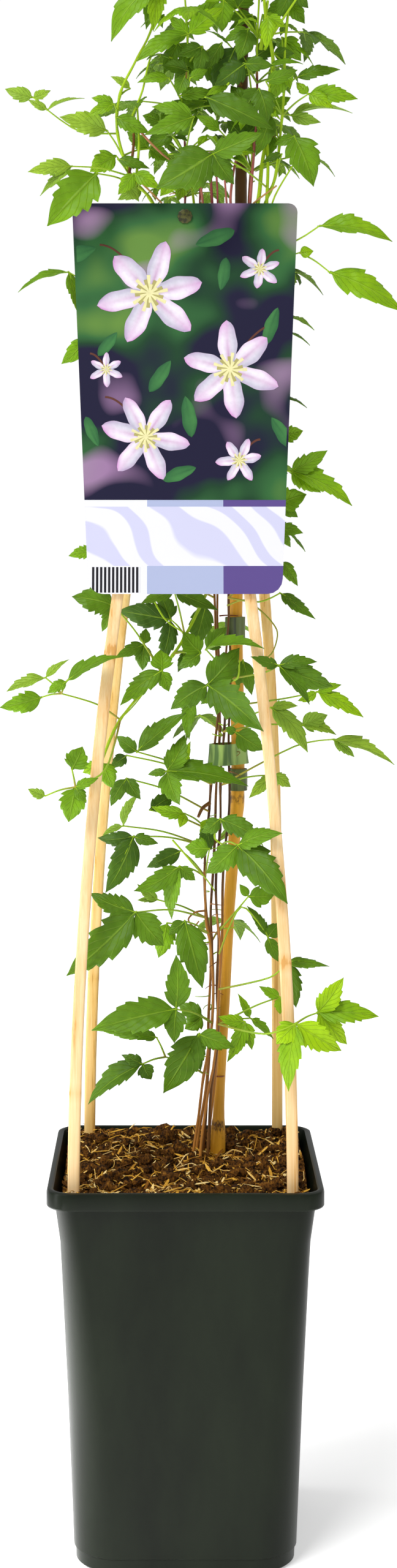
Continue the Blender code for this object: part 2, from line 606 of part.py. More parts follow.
def make_label(material):
    """Tapered card with round corners and a hole for its pin."""
    corners = (
        (LABEL_LOW_HALF, LABEL_LOW, LABEL_LOW_RADIUS, -90, 0),
        (LABEL_TOP_HALF, LABEL_TOP, LABEL_TOP_RADIUS, 0, 90),
        (-LABEL_TOP_HALF, LABEL_TOP, LABEL_TOP_RADIUS, 90, 180),
        (-LABEL_LOW_HALF, LABEL_LOW, LABEL_LOW_RADIUS, 180, 270),
    )
    outline = []
    for x, z, radius, start, end in corners:
        middle_x = x - math.copysign(radius, x)
        middle_z = z + radius if z == LABEL_LOW else z - radius
        for step in range(5):
            angle = math.radians(start + (end - start) * step / 4)
            outline.append((middle_x + radius * math.cos(angle), middle_z + radius * math.sin(angle)))
    back = [Vector((x, label_back(z), z)) for x, z in outline]
    front = [Vector((p.x, p.y - LABEL_THICK, p.z)) for p in back]
    label = add_object("label", loft([front, back]), material)
    radius = PIN_RADIUS + GAP
    hole = along_y("hole", radius, label_back(PIN_HEIGHT) - 0.005, label_back(PIN_HEIGHT) + 0.005,
                   material)
    apply_boolean(label, [hole], "DIFFERENCE")
    return label


def along_y(name, radius, start, end, material, sides=12):
    """A rod along y at the pin's height."""
    turn = math.tau / sides
    rings = [
        [Vector((radius * math.cos(turn * i), y, PIN_HEIGHT + radius * math.sin(turn * i)))
         for i in range(sides)]
        for y in (end, start)
    ]
    return add_object(name, loft(rings), material)


def make_pin(material):
    """Push pin: a round head on the label's face and a shank between the slats."""
    face = label_back(PIN_HEIGHT) - LABEL_THICK - 2 * GAP
    pin = along_y("label_pin", PIN_HEAD, face - PIN_PROUD, face, material)
    shank = along_y("shank", PIN_RADIUS, face - PIN_PROUD / 2, SLAT_TOP_Y + 0.001, material)
    apply_boolean(pin, [shank], "UNION")
    return pin


def smooth_path(points, steps):
    """Points along a smooth curve through the given ones."""
    knots = [Vector(p[:3]) for p in points]
    knots = [2 * knots[0] - knots[1], *knots, 2 * knots[-1] - knots[-2]]
    path = []
    for a, b, c, d in zip(knots, knots[1:], knots[2:], knots[3:]):
        for i in range(steps):
            t = i / steps
            path.append(0.5 * (2 * b + (c - a) * t + (2 * a - 5 * b + 4 * c - d) * t * t
                               + (3 * b - a - 3 * c + d) * t ** 3))
    path.append(knots[-2])
    return path


def tube(path, radii, sides):
    """A tube along a path in millimetres, as a shape in metres."""
    rings = []
    side = Vector((1, 0, 0))
    for i, point in enumerate(path):
        ahead = path[min(i + 1, len(path) - 1)] - path[max(i - 1, 0)]
        ahead.normalize()
        side = (side - ahead * side.dot(ahead)).normalized()
        up = ahead.cross(side)
        turn = math.tau / sides
        rings.append([
            (point + (side * math.cos(turn * k) + up * math.sin(turn * k)) * radii[i]) * MM
            for k in range(sides)
        ])
    return loft(rings)


def seen_at(across, up, depth):
    """The point at a depth that the front view shows at (across, up)."""
    on_plane = Vector((across, 0, up))
    return VIEWPOINT + (on_plane - VIEWPOINT) * (1 + depth / -VIEWPOINT.y)


def facing(base, tip, shown, real):
    """Normal of a leaflet that shows less than its real width: rolled with its top side up."""
    along = (tip - base).normalized()
    toward = Vector((0, -1, 0))
    toward = (toward - along * toward.dot(along)).normalized()
    aside = along.cross(toward)
    if aside.z < 0:
        aside = -aside
    roll = math.acos(min(1.0, shown / real))
    return (toward * math.cos(roll) + aside * math.sin(roll)).normalized()


def drawn_blade(hub, tip):
    """(base, tip, width, normal) of a leaflet from the front view's drawing."""
    base = seen_at(*hub)
    end = seen_at(tip[0], tip[1], hub[2] + tip[3])
    shown = tip[2]
    real = max(shown, BLADE_RATIO * (end - base).length)
    return base, end, real, facing(base, end, shown, real)


def blade_point(blade, u, v):
    """A point of a leaflet's middle surface: u along it, v across from -1 to 1."""
    base, tip, width, normal = blade
    along = tip - base
    across = along.normalized().cross(normal)
    lift = BLADE_ARCH * along.length * 4 * u * (1 - u)
    return base + along * u + across * v * width / 2 + normal * lift


def leaf_groups(blades):
    """Splits a leaf's leaflets into sets whose leaflets don't lie over one another."""
    up = sum((blade[3] for blade in blades), Vector()).normalized()
    side = up.orthogonal().normalized()
    front = up.cross(side)
    groups = []
    for blade in blades:
        along = blade[1] - blade[0]
        angle = math.atan2(along.dot(front), along.dot(side))
        half = math.atan2(abs(blade[3].dot(up)) * blade[2] / 2, CLEAR_REACH * along.length)
        for group in groups:
            if all(turn_between(angle, other[0]) > half + other[1] for other in group):
                group.append((angle, half, blade))
                break
        else:
            groups.append([(angle, half, blade)])
    return up, side, front, groups


def turn_between(a, b):
    """Angle between two directions."""
    return abs((a - b + math.pi) % math.tau - math.pi)


def leaf_shapes(stalk, blades):
    """A leaf as thin closed plates: leaflets and stalk are the spokes of one hub."""
    up, side, front, groups = leaf_groups(blades)
    shapes = []
    for index, group in enumerate(groups):
        hub = group[0][2][0] - up * STEP_BACK * index
        route = [hub, *stalk[-2::-1]] if index == 0 else [hub, *stalk[-2:-3:-1]]
        leaving = route[1] - hub
        wanted = math.atan2(leaving.dot(front), leaving.dot(side))
        spokes = [(angle, *leaflet_spoke(blade, hub)) for angle, _, blade in group]
        angle = free_angle(wanted, [(entry[0], entry[1]) for entry in group])
        heading = side * math.cos(angle) + front * math.sin(angle)
        spokes.append((angle, stalk_spoke(route, heading, up), None))
        shortest = min((blade[1] - blade[0]).length for _, _, blade in group)
        reach = min(1.2, max(0.6, 0.07 * shortest))
        shapes.append(hub_plate(hub, (up, side, front), reach, sorted(spokes, key=lambda s: s[0])))
    return shapes


def free_angle(wanted, taken):
    """The direction nearest to the wanted one that no leaflet covers."""
    options = [wanted]
    for angle, half in taken:
        options += [angle - half - STALK_TURN, angle + half + STALK_TURN]
    free = [
        option for option in options
        if all(turn_between(option, angle) > half + 0.9 * STALK_TURN for angle, half in taken)
    ]
    if free:
        nearest = min(free, key=lambda option: turn_between(option, wanted))
    else:
        order = sorted(angle for angle, _ in taken)
        gaps = [(b - a, (a + b) / 2) for a, b in zip(order, order[1:] + [order[0] + math.tau])]
        nearest = max(gaps)[1]
    return math.atan2(math.sin(nearest), math.cos(nearest))


def leaflet_spoke(blade, hub):
    """Edge points of a leaflet from its base outward, as (right, left, normal), and its tip."""
    base, tip, width, normal = blade
    blade = (hub, tip, width, normal)
    edge = next(side for shortest, side in SIDES if (tip - base).length > shortest)
    pairs = [(blade_point(blade, u, v), blade_point(blade, u, -v), normal) for u, v in edge]
    return pairs, (blade_point(blade, 1.0, 0.0), normal)


def stalk_spoke(route, heading, normal):
    """Edge points of a flat stalk that bends from its heading along a route."""
    pairs = []
    for before, point in zip(route, route[1:]):
        ahead = (point - before).normalized()
        normal = heading.rotation_difference(ahead) @ normal
        heading = ahead
        size = STALK_ROOT if point is route[-1] else 1.0
        left = normal.cross(ahead) * STALK_HALF * size
        pairs.append((point - left, point + left, normal * size))
    return pairs


def hub_plate(hub, axes, reach, spokes):
    """Joins spokes round a hub into one closed plate of even thickness."""
    up, side, front = axes
    count = len(spokes)
    angles = [spoke[0] for spoke in spokes]
    between = [(angles[i - 1] + angles[i]) / 2 - (math.pi if i == 0 else 0) for i in range(count)]
    flat = [(hub + (side * math.cos(a) + front * math.sin(a)) * reach, up) for a in between]
    top = [tuple(range(count))] if count > 2 else []
    rim = []
    for i, (_, pairs, tip) in enumerate(spokes):
        right, left = [i], [(i + 1) % count]
        for right_point, left_point, normal in pairs:
            right.append(len(flat))
            left.append(len(flat) + 1)
            flat += [(right_point, normal), (left_point, normal)]
        for a, b, c, d in zip(right, right[1:], left[1:], left):
            top += [(a, b, c), (a, c, d)]
        if tip is None:
            rim.append((right[-1], left[-1]))
        else:
            top.append((right[-1], len(flat), left[-1]))
            rim += [(right[-1], len(flat)), (len(flat), left[-1])]
            flat.append(tip)
        rim += zip(right, right[1:])
        rim += zip(left[::-1], left[-2::-1])
    half = BLADE_THICK / 2
    points = [(p + normal * half) * MM for p, normal in flat]
    points += [(p - normal * half) * MM for p, normal in flat]
    under = [tuple(i + len(flat) for i in reversed(f)) for f in top]
    walls = [(i, i + len(flat), j + len(flat), j) for i, j in rim]
    return points, top + under + walls


def stalk_path(start, end, via=None):
    """A leaf stalk: it rises from the stem, then arches over to the hub."""
    reach = (end - start).length
    if via is None:
        via = start.lerp(end, 0.5) + Vector((0, 0, 0.10 * reach))
        return [
            (1 - t) ** 2 * start + 2 * t * (1 - t) * via + t * t * end
            for t in (i / STALK_STEPS for i in range(STALK_STEPS + 1))
        ]
    return smooth_path([start, via, end], 2)


def nearest_on(paths, hub):
    """The stem point that a leaf with this hub grows from: near it, and rather below."""
    reach = hub - Vector((0, 0, 6))
    return min(rooting(paths), key=lambda p: (p - reach).length + max(0.0, p.z - reach.z))


def rooting(paths):
    """Stem points that leaves may grow from."""
    return [
        p for path in paths for p in path[1:-1]
        if p.z > 225 and not BAND_KEEP[0] < p.z < BAND_KEEP[1]
    ]


def slat_points():
    """Points along the slats and the cane, in millimetres, that leaves keep clear of."""
    found = []
    for slat in SLATS:
        found += [slat_centre(slat, z * MM) / MM for z in range(200, 750, 6)]
    for low, high in zip(CANE, CANE[1:]):
        count = max(1, round((high[2] - low[2]) / 6))
        for i in range(count):
            found.append(Vector(low[:3]).lerp(Vector(high[:3]), i / count))
    for _, low, high, held in BANDS:
        found += [path_at(VINES[vine][0], z) / MM for vine in held for z in (low, high)]
    return found


def blade_cloud(blade):
    """A few points of a leaflet, to keep others clear of it."""
    return [
        blade_point(blade, u, v * (1 - abs(2 * u - 0.8) ** 2))
        for u in (0.15, 0.4, 0.65, 0.9) for v in (-0.9, 0, 0.9)
    ]


def along_lines(lines, spacing=4.0):
    """Points at an even spacing along lists of points."""
    found = []
    for line in lines:
        for start, end in zip(line, line[1:]):
            count = max(1, round((end - start).length / spacing))
            found += [start.lerp(end, i / count) for i in range(count)]
    return found


def is_clear(cloud, others, distance):
    """True if no point of the cloud lies within the distance of the others."""
    limit = distance * distance
    return all((a - b).length_squared > limit for a in cloud for b in others)


def behind_label(cloud):
    """True if none of the points reaches the label."""
    for p in cloud:
        beside = abs(p.x) < LABEL_TOP_HALF / MM + 3
        level = LABEL_LOW / MM - 5 < p.z < LABEL_TOP / MM + 5
        if beside and level and p.y < label_back(p.z * MM) / MM + 4:
            return False
    return True


def hidden_leaf(rng, start, angle):
    """Hub and leaflets of a leaf that grows from a stem point in a direction."""
    out = Vector((math.cos(angle), math.sin(angle), 0))
    aside = Vector((-out.y, out.x, 0))
    reach = rng.uniform(16, 30)
    hub = start + out * reach + Vector((0, 0, rng.uniform(2, 12)))
    size = rng.uniform(20, 30)
    droop = rng.uniform(0.25, 0.80)
    blades = []
    for turn, share in ((0, 1.0), (80, 0.8), (-80, 0.8)):
        way = out * math.cos(math.radians(turn)) + aside * math.sin(math.radians(turn))
        drop = droop + rng.uniform(-0.15, 0.15)
        tip = hub + (way - Vector((0, 0, drop))).normalized() * size * share
        along = (tip - hub).normalized()
        up = Vector((0, 0, 1)) + out * 0.5
        normal = (up - along * up.dot(along)).normalized()
        blades.append((hub, tip, size * share * rng.uniform(0.42, 0.50), normal))
    return hub, blades


def grow_vines():
    """Stem paths, and each leaf as (stalk path, leaflets), for every vine."""
    paths = {
        name: [smooth_path(points, 2) for points in lines] for name, lines in VINES.items()
    }
    grown = {name: [] for name in VINES}
    bars = slat_points()
    stems = along_lines([path for lines in paths.values() for path in lines])
    taken = []
    for name, leaves in LEAVES.items():
        hubs = []
        for leaf in leaves:
            shift = settle(leaf, taken, bars, stems)
            across, up, depth = leaf["hub"]
            hubs.append(seen_at(across, up, depth + shift))
            blades = drawn_blades(leaf, shift)
            begins = leaf.get("start")
            start = nearest_on(paths[name], hubs[-1]) if begins is None else hubs[begins]
            via = seen_at(*leaf["via"]) if "via" in leaf else None
            grown[name].append((stalk_path(start, hubs[-1], via), blades))
            taken += [p for blade in blades for p in blade_cloud(blade)]
    add_hidden_leaves(paths, grown, taken, bars, stems)
    return paths, grown


def drawn_blades(leaf, shift):
    """Leaflets of a drawn leaf, moved in depth."""
    across, up, depth = leaf["hub"]
    return [drawn_blade((across, up, depth + shift), tip) for tip in leaf["tips"]]


def settle(leaf, taken, bars, stems):
    """How far a drawn leaf moves in depth to lie clear of those before it."""
    best = (0, 0)
    for shift in SETTLE_STEPS:
        cloud = [p for blade in drawn_blades(leaf, shift) for p in blade_cloud(blade)]
        free = (
            is_clear(cloud, taken, SETTLE_CLEAR) + is_clear(cloud, bars, BAR_CLEAR)
            + is_clear(cloud, stems, SETTLE_CLEAR)
        )
        if free > best[0]:
            best = (free, shift)
        if free == 3:
            break
    return best[1]


def add_hidden_leaves(paths, grown, taken, bars, stems):
    """Fills the sides that the front view hides, each leaf turned on until it is clear."""
    rng = random.Random(HIDDEN_SEED)
    stems += along_lines([stalk[1:] for leaves in grown.values() for stalk, _ in leaves])
    for name, low, high, first, last, count in HIDDEN:
        path = rooting(paths[name][:1])
        for i in range(count):
            height = low + (high - low) * (i + 0.5) / count
            start = min(path, key=lambda p: abs(p.z - height))
            share = (i * 0.618) % 1
            for turn in range(TURNS):
                angle = math.radians(first + (last - first) * share + turn * TURN_ON)
                hub, blades = hidden_leaf(rng, start, angle)
                cloud = [p for blade in blades for p in blade_cloud(blade)]
                stalk = stalk_path(start, hub)
                free = along_lines([stalk])[2:]
                near = is_clear(cloud + free, bars, 7) and is_clear(cloud + free, stems, 4)
                if near and behind_label(cloud) and is_clear(cloud, taken, KEEP_CLEAR):
                    grown[name].append((stalk, blades))
                    taken += cloud
                    stems += free
                    break


def make_vine(name, paths, leaves, material):
    """A leafy stem as one body: stem, side shoots, stalks and leaflets fused."""
    parts = []
    for index, path in enumerate(paths):
        thick = STEM_RADIUS if index == 0 else SHOOT_RADIUS
        taper = [thick * (1 - 0.35 * i / (len(path) - 1)) for i in range(len(path))]
        parts.append(tube(path, taper, STEM_SIDES))
    for stalk, blades in leaves:
        if blades:
            parts += leaf_shapes(stalk, blades)
        else:
            parts.append(tube(stalk, [STALK_RADIUS] * len(stalk), STALK_SIDES))
    first, *others = [add_object(f"{name}_piece", part, material) for part in parts]
    first.name = name
    apply_boolean(first, others, "UNION", "MANIFOLD")
    drop_scraps(first)
    return first


def drop_scraps(obj):
    """Keeps the largest body of a mesh."""
    mesh = bmesh.new()
    mesh.from_mesh(obj.data)
    bodies = []
    left = set(mesh.verts)
    while left:
        body = [left.pop()]
        for vert in body:
            near = {edge.other_vert(vert) for edge in vert.link_edges} & left
            left -= near
            body += near
        bodies.append(body)
    largest = max(bodies, key=len)
    scraps = [vert for body in bodies if body is not largest for vert in body]
    bmesh.ops.delete(mesh, geom=scraps, context="VERTS")
    mesh.to_mesh(obj.data)
    mesh.free()


def vine_hole(name, paths, material):
    """Cutter for the hole that a stem stands in."""
    path = [p for p in paths[0] if p.z < 250]
    path[0] = path[0] - Vector((0, 0, GAP / MM))
    radius = (STEM_RADIUS + GAP / MM) / math.cos(math.pi / STEM_SIDES)
    return add_object("hole", tube(path, [radius] * len(path), 2 * STEM_SIDES), material)


def main():
    """Builds every piece."""
    clear_scene()
    plastic = finish_of("pot plastic", (0.022, 0.028, 0.024), 0.45)
    peat = finish_of("potting mix", (0.060, 0.032, 0.014), 0.95)
    slat_wood = finish_of("split bamboo", (0.86, 0.66, 0.36), 0.55)
    cane_wood = finish_of("bamboo cane", (0.52, 0.33, 0.09), 0.50)
    band_green = finish_of("green band", (0.10, 0.19, 0.07), 0.40)
    card = finish_of("label card", (0.70, 0.72, 0.85), 0.35)
    pin_green = finish_of("pin plastic", (0.06, 0.07, 0.03), 0.40)
    leaf_green = finish_of("leaves and stems", (0.10, 0.27, 0.02), 0.50)
    make_pot(plastic)
    for slat in SLATS:
        make_slat(slat, slat_wood)
    make_cane(cane_wood)
    tie = round_hull([
        (side_x * SLAT_TOP_X + edge_x * SLAT_WIDTH / 2, side_y * (SLAT_TOP_Y + SLAT_THICK / 2),
         2 * GAP)
        for side_x in (-1, 1) for side_y in (-1, 1) for edge_x in (-1, 1)
    ])
    make_ring("trellis_tie", tie, TIE_LOW, TIE_HIGH, TIE_THICK, band_green)
    for band in BANDS:
        make_band(band, band_green)
    make_label(card)
    make_pin(pin_green)
    paths, grown = grow_vines()
    holes = [slat_hole(slat, peat) for slat in SLATS] + [cane_hole(peat)]
    for name in VINES:
        holes.append(vine_hole(name, paths[name], peat))
        make_vine(name, paths[name], grown[name], leaf_green)
    make_soil(peat, holes)


if __name__ == "__main__":
    main()
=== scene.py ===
"""Looks of a young clematis on a bamboo slat trellis in a square nursery pot.

Metres, +Z up, the plant's front towards -Y. The plant's own drawing is in millimetres.
"""

import logging
import math
import random
from dataclasses import dataclass, field
from enum import Enum
from typing import Any, Callable, Iterable, Optional, Sequence

import bpy
import numpy as np
from bpy.types import Material, NodeSocket, NodeTree, Object
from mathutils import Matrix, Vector, noise
from mathutils.geometry import convex_hull_2d

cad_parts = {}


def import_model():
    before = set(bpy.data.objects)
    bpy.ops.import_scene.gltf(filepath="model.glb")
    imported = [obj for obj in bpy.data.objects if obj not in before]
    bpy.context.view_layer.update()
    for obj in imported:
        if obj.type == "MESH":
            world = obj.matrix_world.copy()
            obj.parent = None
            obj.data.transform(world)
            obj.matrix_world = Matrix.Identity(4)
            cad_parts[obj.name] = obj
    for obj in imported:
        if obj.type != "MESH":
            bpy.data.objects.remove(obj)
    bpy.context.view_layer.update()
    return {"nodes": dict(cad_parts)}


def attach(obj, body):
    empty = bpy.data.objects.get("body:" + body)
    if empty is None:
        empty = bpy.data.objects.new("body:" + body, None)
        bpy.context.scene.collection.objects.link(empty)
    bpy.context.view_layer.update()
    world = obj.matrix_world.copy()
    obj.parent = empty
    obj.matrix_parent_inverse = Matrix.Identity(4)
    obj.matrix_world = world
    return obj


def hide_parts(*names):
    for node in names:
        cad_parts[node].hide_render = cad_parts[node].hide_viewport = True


LOG = logging.getLogger("clematis")
MM = 0.001
BODY = "root"
Stop = tuple[float, str]
Place = tuple[float, float, float]
Marks = dict[str, Any]
Feeds = dict[str, NodeSocket]


def hex_colour(code: str) -> tuple[float, float, float, float]:
    """Turn an sRGB hex colour into linear red, green, blue and alpha.

    Args:
        code: Six hex digits after a hash sign.

    Returns:
        Linear RGBA with alpha 1.
    """
    channels = [int(code[i:i + 2], 16) / 255 for i in (1, 3, 5)]
    linear = [c / 12.92 if c <= 0.04045 else ((c + 0.055) / 1.055) ** 2.4 for c in channels]
    return (*linear, 1.0)


def add_node(
    tree: NodeTree, kind: str, inputs: Any = (), output: Optional[str] = None,
    stops: Sequence[Stop] = (), size_mm: Any = None, **settings: Any,
) -> NodeSocket:
    """Add a node with its settings, its colour stops and what feeds its inputs.

    Args:
        tree: The node tree.
        kind: Blender's name for the node's type, without its ShaderNode prefix.
        inputs: Values, hex colours or sockets, by name or in the order of the inputs in use.
        output: The output to give, where it isn't the first one in use.
        stops: Positions and hex colours of a colour ramp.
        size_mm: Real size of a pattern's repeat, for all axes or one for each.
        **settings: Properties of the node.

    Returns:
        The socket of its output.
    """
    node = tree.nodes.new(f"ShaderNode{kind}")
    for name, value in settings.items():
        setattr(node, name, value)
    used = [i for i, socket in enumerate(node.inputs) if socket.enabled]
    feeds = dict(inputs) if isinstance(inputs, dict) else dict(zip(used, inputs))
    if size_mm is not None:
        per_metre = np.broadcast_to(1 / (np.array(size_mm) * MM), 3)
        place = add_node(tree, "TexCoord", output="Object")
        feeds["Vector"] = add_node(tree, "Mapping", {"Vector": place, "Scale": per_metre})
        if "Scale" in node.inputs:
            feeds["Scale"] = 1.0
    for key, value in feeds.items():
        if isinstance(value, NodeSocket):
            tree.links.new(value, node.inputs[key])
        else:
            node.inputs[key].default_value = hex_colour(value) if isinstance(value, str) else value
    for i, (position, code) in enumerate(stops):
        elements = node.color_ramp.elements
        element = elements[i] if i < len(elements) else elements.new(position)
        element.position = position
        element.color = hex_colour(code)
    return node.outputs[output] if output else next(s for s in node.outputs if s.enabled)


def select_only(*objects: Object) -> None:
    """Deselect everything, then select some objects and make the first one active."""
    bpy.ops.object.select_all(action="DESELECT")
    for obj in objects:
        obj.select_set(True)
    bpy.context.view_layer.objects.active = objects[0] if objects else None


def add_primitive(kind: str, **sizes: Any) -> Object:
    """Add one of Blender's mesh primitives, at the origin if it isn't given a place.

    Args:
        kind: The primitive's name.
        **sizes: What its operator takes.

    Returns:
        The new object.
    """
    select_only()
    getattr(bpy.ops.mesh, f"primitive_{kind}_add")(**{"location": (0, 0, 0), **sizes})
    return bpy.context.active_object


def apply_modifiers(obj: Object) -> None:
    """Apply every modifier of an object, in order.

    Args:
        obj: The object.
    """
    select_only(obj)
    for modifier in list(obj.modifiers):
        bpy.ops.object.modifier_apply(modifier=modifier.name)


def settle_piece(
    pieces: Sequence[Object], name: str, replaced: Sequence[str] = (),
    sharp: float = 40.0,
) -> None:
    """Join the parts of a finished piece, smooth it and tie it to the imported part.

    Args:
        pieces: The piece's parts, all at the origin.
        name: The piece's name.
        replaced: Nodes that the piece stands for.
        sharp: Edges that bend more than this many degrees stay sharp.
    """
    select_only(*pieces)
    if len(pieces) > 1:
        bpy.ops.object.join()
    obj = pieces[0]
    obj.name = obj.data.name = name
    bpy.ops.object.shade_smooth_by_angle(angle=math.radians(sharp))
    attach(obj, BODY)
    if replaced:
        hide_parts(*replaced)
    LOG.info("%s: %d faces", name, len(obj.data.polygons))


class Blank:
    """A shape modelled once in its own measure, then copied and bent into place."""

    def __init__(self, obj: Object, materials: Sequence[Material], rows: int = 0) -> None:
        """Take the mesh of a modelled object and remove the object.

        Args:
            obj: The modelled shape.
            materials: Materials that every copy carries.
            rows: How many lengths it bends between, if it is a rod of height 1.
        """
        self.mesh = obj.data
        bpy.data.objects.remove(obj)
        self.mesh.materials.clear()
        for material in materials:
            self.mesh.materials.append(material)
        flat = np.empty(len(self.mesh.vertices) * 3, dtype=np.float32)
        self.mesh.vertices.foreach_get("co", flat)
        self.points = flat.reshape(-1, 3).astype(float)
        self.row = np.round(self.points[:, 2] * rows).astype(int)
        self.angle = np.arctan2(self.points[:, 1], self.points[:, 0])
        self.turn = self.angle / math.tau % 1.0

    def copy(self, points: np.ndarray, marks: Optional[Marks] = None, material: int = 0) -> Object:
        """Make a copy whose points lie elsewhere.

        Args:
            points: New places in metres, in the order of the blank's points.
            marks: Point attributes: each a number, one number per point, or colours.
            material: Index of the material that the copy shows.

        Returns:
            The copy, at the origin.
        """
        mesh = self.mesh.copy()
        mesh.vertices.foreach_set("co", points.astype(np.float32).ravel())
        for name, value in (marks or {}).items():
            colour = np.shape(value)[-1:] == (4,)
            kind, part = ("FLOAT_COLOR", "color") if colour else ("FLOAT", "value")
            spread = np.broadcast_to(value, (len(points), 4) if colour else len(points))
            layer = mesh.attributes.new(name, kind, "POINT")
            layer.data.foreach_set(part, spread.astype(np.float32).ravel())
        if material:
            mesh.polygons.foreach_set("material_index", [material] * len(mesh.polygons))
        mesh.update()
        obj = bpy.data.objects.new("copy", mesh)
        bpy.context.scene.collection.objects.link(obj)
        return obj


def rod_blank(
    sides: int, rows: int, materials: Sequence[Material], ends: str = "NGON"
) -> Blank:
    """Model a round rod of radius 1 from height 0 to 1, to be bent along a path.

    Args:
        sides: Number of sides.
        rows: Number of lengths that it bends between.
        materials: Materials that every copy carries.
        ends: What fills its ends: NGON, or NOTHING for a strip.

    Returns:
        The blank.
    """
    obj = add_primitive("circle", vertices=sides, radius=1.0, fill_type=ends)
    bpy.ops.object.mode_set(mode="EDIT")
    bpy.ops.mesh.select_all(action="SELECT")
    for _ in range(rows):
        bpy.ops.mesh.extrude_region_move(TRANSFORM_OT_translate={"value": (0, 0, 1 / rows)})
    bpy.ops.mesh.select_all(action="SELECT")
    bpy.ops.mesh.normals_make_consistent(inside=False)
    bpy.ops.object.mode_set(mode="OBJECT")
    return Blank(obj, materials, rows)


def sheet_blank(rows: int, columns: int, materials: Sequence[Material]) -> Blank:
    """Model a thin closed sheet from -1 to 1 each way, to be bent into a leaflet or petal.

    Args:
        rows: Number of cells along it.
        columns: Number of cells across it.
        materials: Materials that every copy carries.

    Returns:
        The blank.
    """
    obj = add_primitive("grid", x_subdivisions=rows, y_subdivisions=columns, size=2)
    sheet = obj.modifiers.new("thickness", "SOLIDIFY")
    sheet.thickness = 2.0
    sheet.offset = 0.0
    apply_modifiers(obj)
    return Blank(obj, materials)


def frames_along(path: np.ndarray) -> tuple[np.ndarray, np.ndarray]:
    """Two directions square to a path at each of its points, turning as little as they can.

    Args:
        path: Points, one a row.

    Returns:
        The sideways directions and the upward ones.
    """
    ahead = np.gradient(path, axis=0)
    ahead /= np.linalg.norm(ahead, axis=1)[:, None]
    side = np.empty_like(path)
    side[0] = np.cross(ahead[0], (0.13, 1.0, 0.07))
    side[0] /= np.linalg.norm(side[0])
    for i in range(1, len(path)):
        side[i] = side[i - 1] - ahead[i] * side[i - 1].dot(ahead[i])
        side[i] /= np.linalg.norm(side[i])
    return side, np.cross(ahead, side)


def bent_rod(
    blank: Blank, path: np.ndarray, radius: Callable[[np.ndarray], np.ndarray],
    marks: Optional[Marks] = None, material: int = 0,
) -> Object:
    """Copy a rod along a path.

    Args:
        blank: The rod.
        path: Points in millimetres.
        radius: Radius in millimetres for each share of the length.
        marks: Point attributes: numbers, or functions of the share of the length.
        material: Index of the material that the copy shows.

    Returns:
        The bent rod.
    """
    row, share = blank.row, blank.points[:, 2]
    given = np.linspace(0, 1, len(path))
    even = np.linspace(0, 1, int(row.max()) + 1)
    path = np.stack([np.interp(even, given, path[:, k]) for k in range(3)], axis=1)
    side, up = frames_along(path)
    reach = radius(share)[:, None]
    points = path[row] + reach * (
        side[row] * blank.points[:, 0:1] + up[row] * blank.points[:, 1:2]
    )
    found = {k: v(share) if callable(v) else v for k, v in (marks or {}).items()}
    return blank.copy(points * MM, found, material)


@dataclass(frozen=True)
class Finish:
    """What every finish has: a name, how it takes the light and how deep its relief is."""

    name: str
    roughness: float = 0.5
    ior: float = 1.46
    gloss: float = 0.25
    relief_mm: float = 0.15

    def make(self) -> Material:
        """Make the material: what is the same all over, then the finish's own patterns."""
        material = bpy.data.materials.new(self.name)
        material.use_nodes = True
        tree = material.node_tree
        shader = tree.nodes["Principled BSDF"]
        shader.inputs["Roughness"].default_value = self.roughness
        shader.inputs["IOR"].default_value = self.ior
        shader.inputs["Specular IOR Level"].default_value = self.gloss
        feeds = self.patterns(tree)
        if "Height" in feeds:
            relief = {"Height": feeds.pop("Height"), "Distance": self.relief_mm * MM}
            feeds["Normal"] = add_node(tree, "Bump", relief)
        for name, source in feeds.items():
            tree.links.new(source, shader.inputs[name])
        return material

    def patterns(self, tree: NodeTree) -> Feeds:
        """The finish's patterns: here none.

        Args:
            tree: The material's node tree.

        Returns:
            What feeds the shader, by the name of its input, and the height of the relief.
        """
        return {}


@dataclass(frozen=True)
class MouldedPlastic(Finish):
    """Injection moulded polypropylene: an even colour, a soft sheen and faint dust."""

    name: str = "moulded polypropylene, dark green-black"
    roughness: float = 0.30
    ior: float = 1.49
    gloss: float = 0.15
    relief_mm: float = 0.03
    deep: str = "#0f140c"
    worn: str = "#1b2216"
    cloud_mm: Place = (60.0, 60.0, 171.43)
    grain_mm: float = 0.9

    def patterns(self, tree: NodeTree) -> Feeds:
        """Clouds of slightly worn colour over a fine moulded grain.

        Args:
            tree: The material's node tree.

        Returns:
            What feeds the shader, by the name of its input, and the height of the relief.
        """
        clouds = add_node(
            tree, "TexNoise", {"Detail": 5.0, "Roughness": 0.62}, size_mm=self.cloud_mm
        )
        colour = add_node(tree, "ValToRGB", [clouds], stops=((0.35, self.deep), (0.72, self.worn)))
        sheen = {"Value": clouds, "To Min": self.roughness - 0.06, "To Max": self.roughness + 0.12}
        rough = add_node(tree, "MapRange", sheen)
        grain = add_node(tree, "TexNoise", {"Detail": 2.0}, size_mm=self.grain_mm)
        return {"Base Color": colour, "Roughness": rough, "Height": grain}


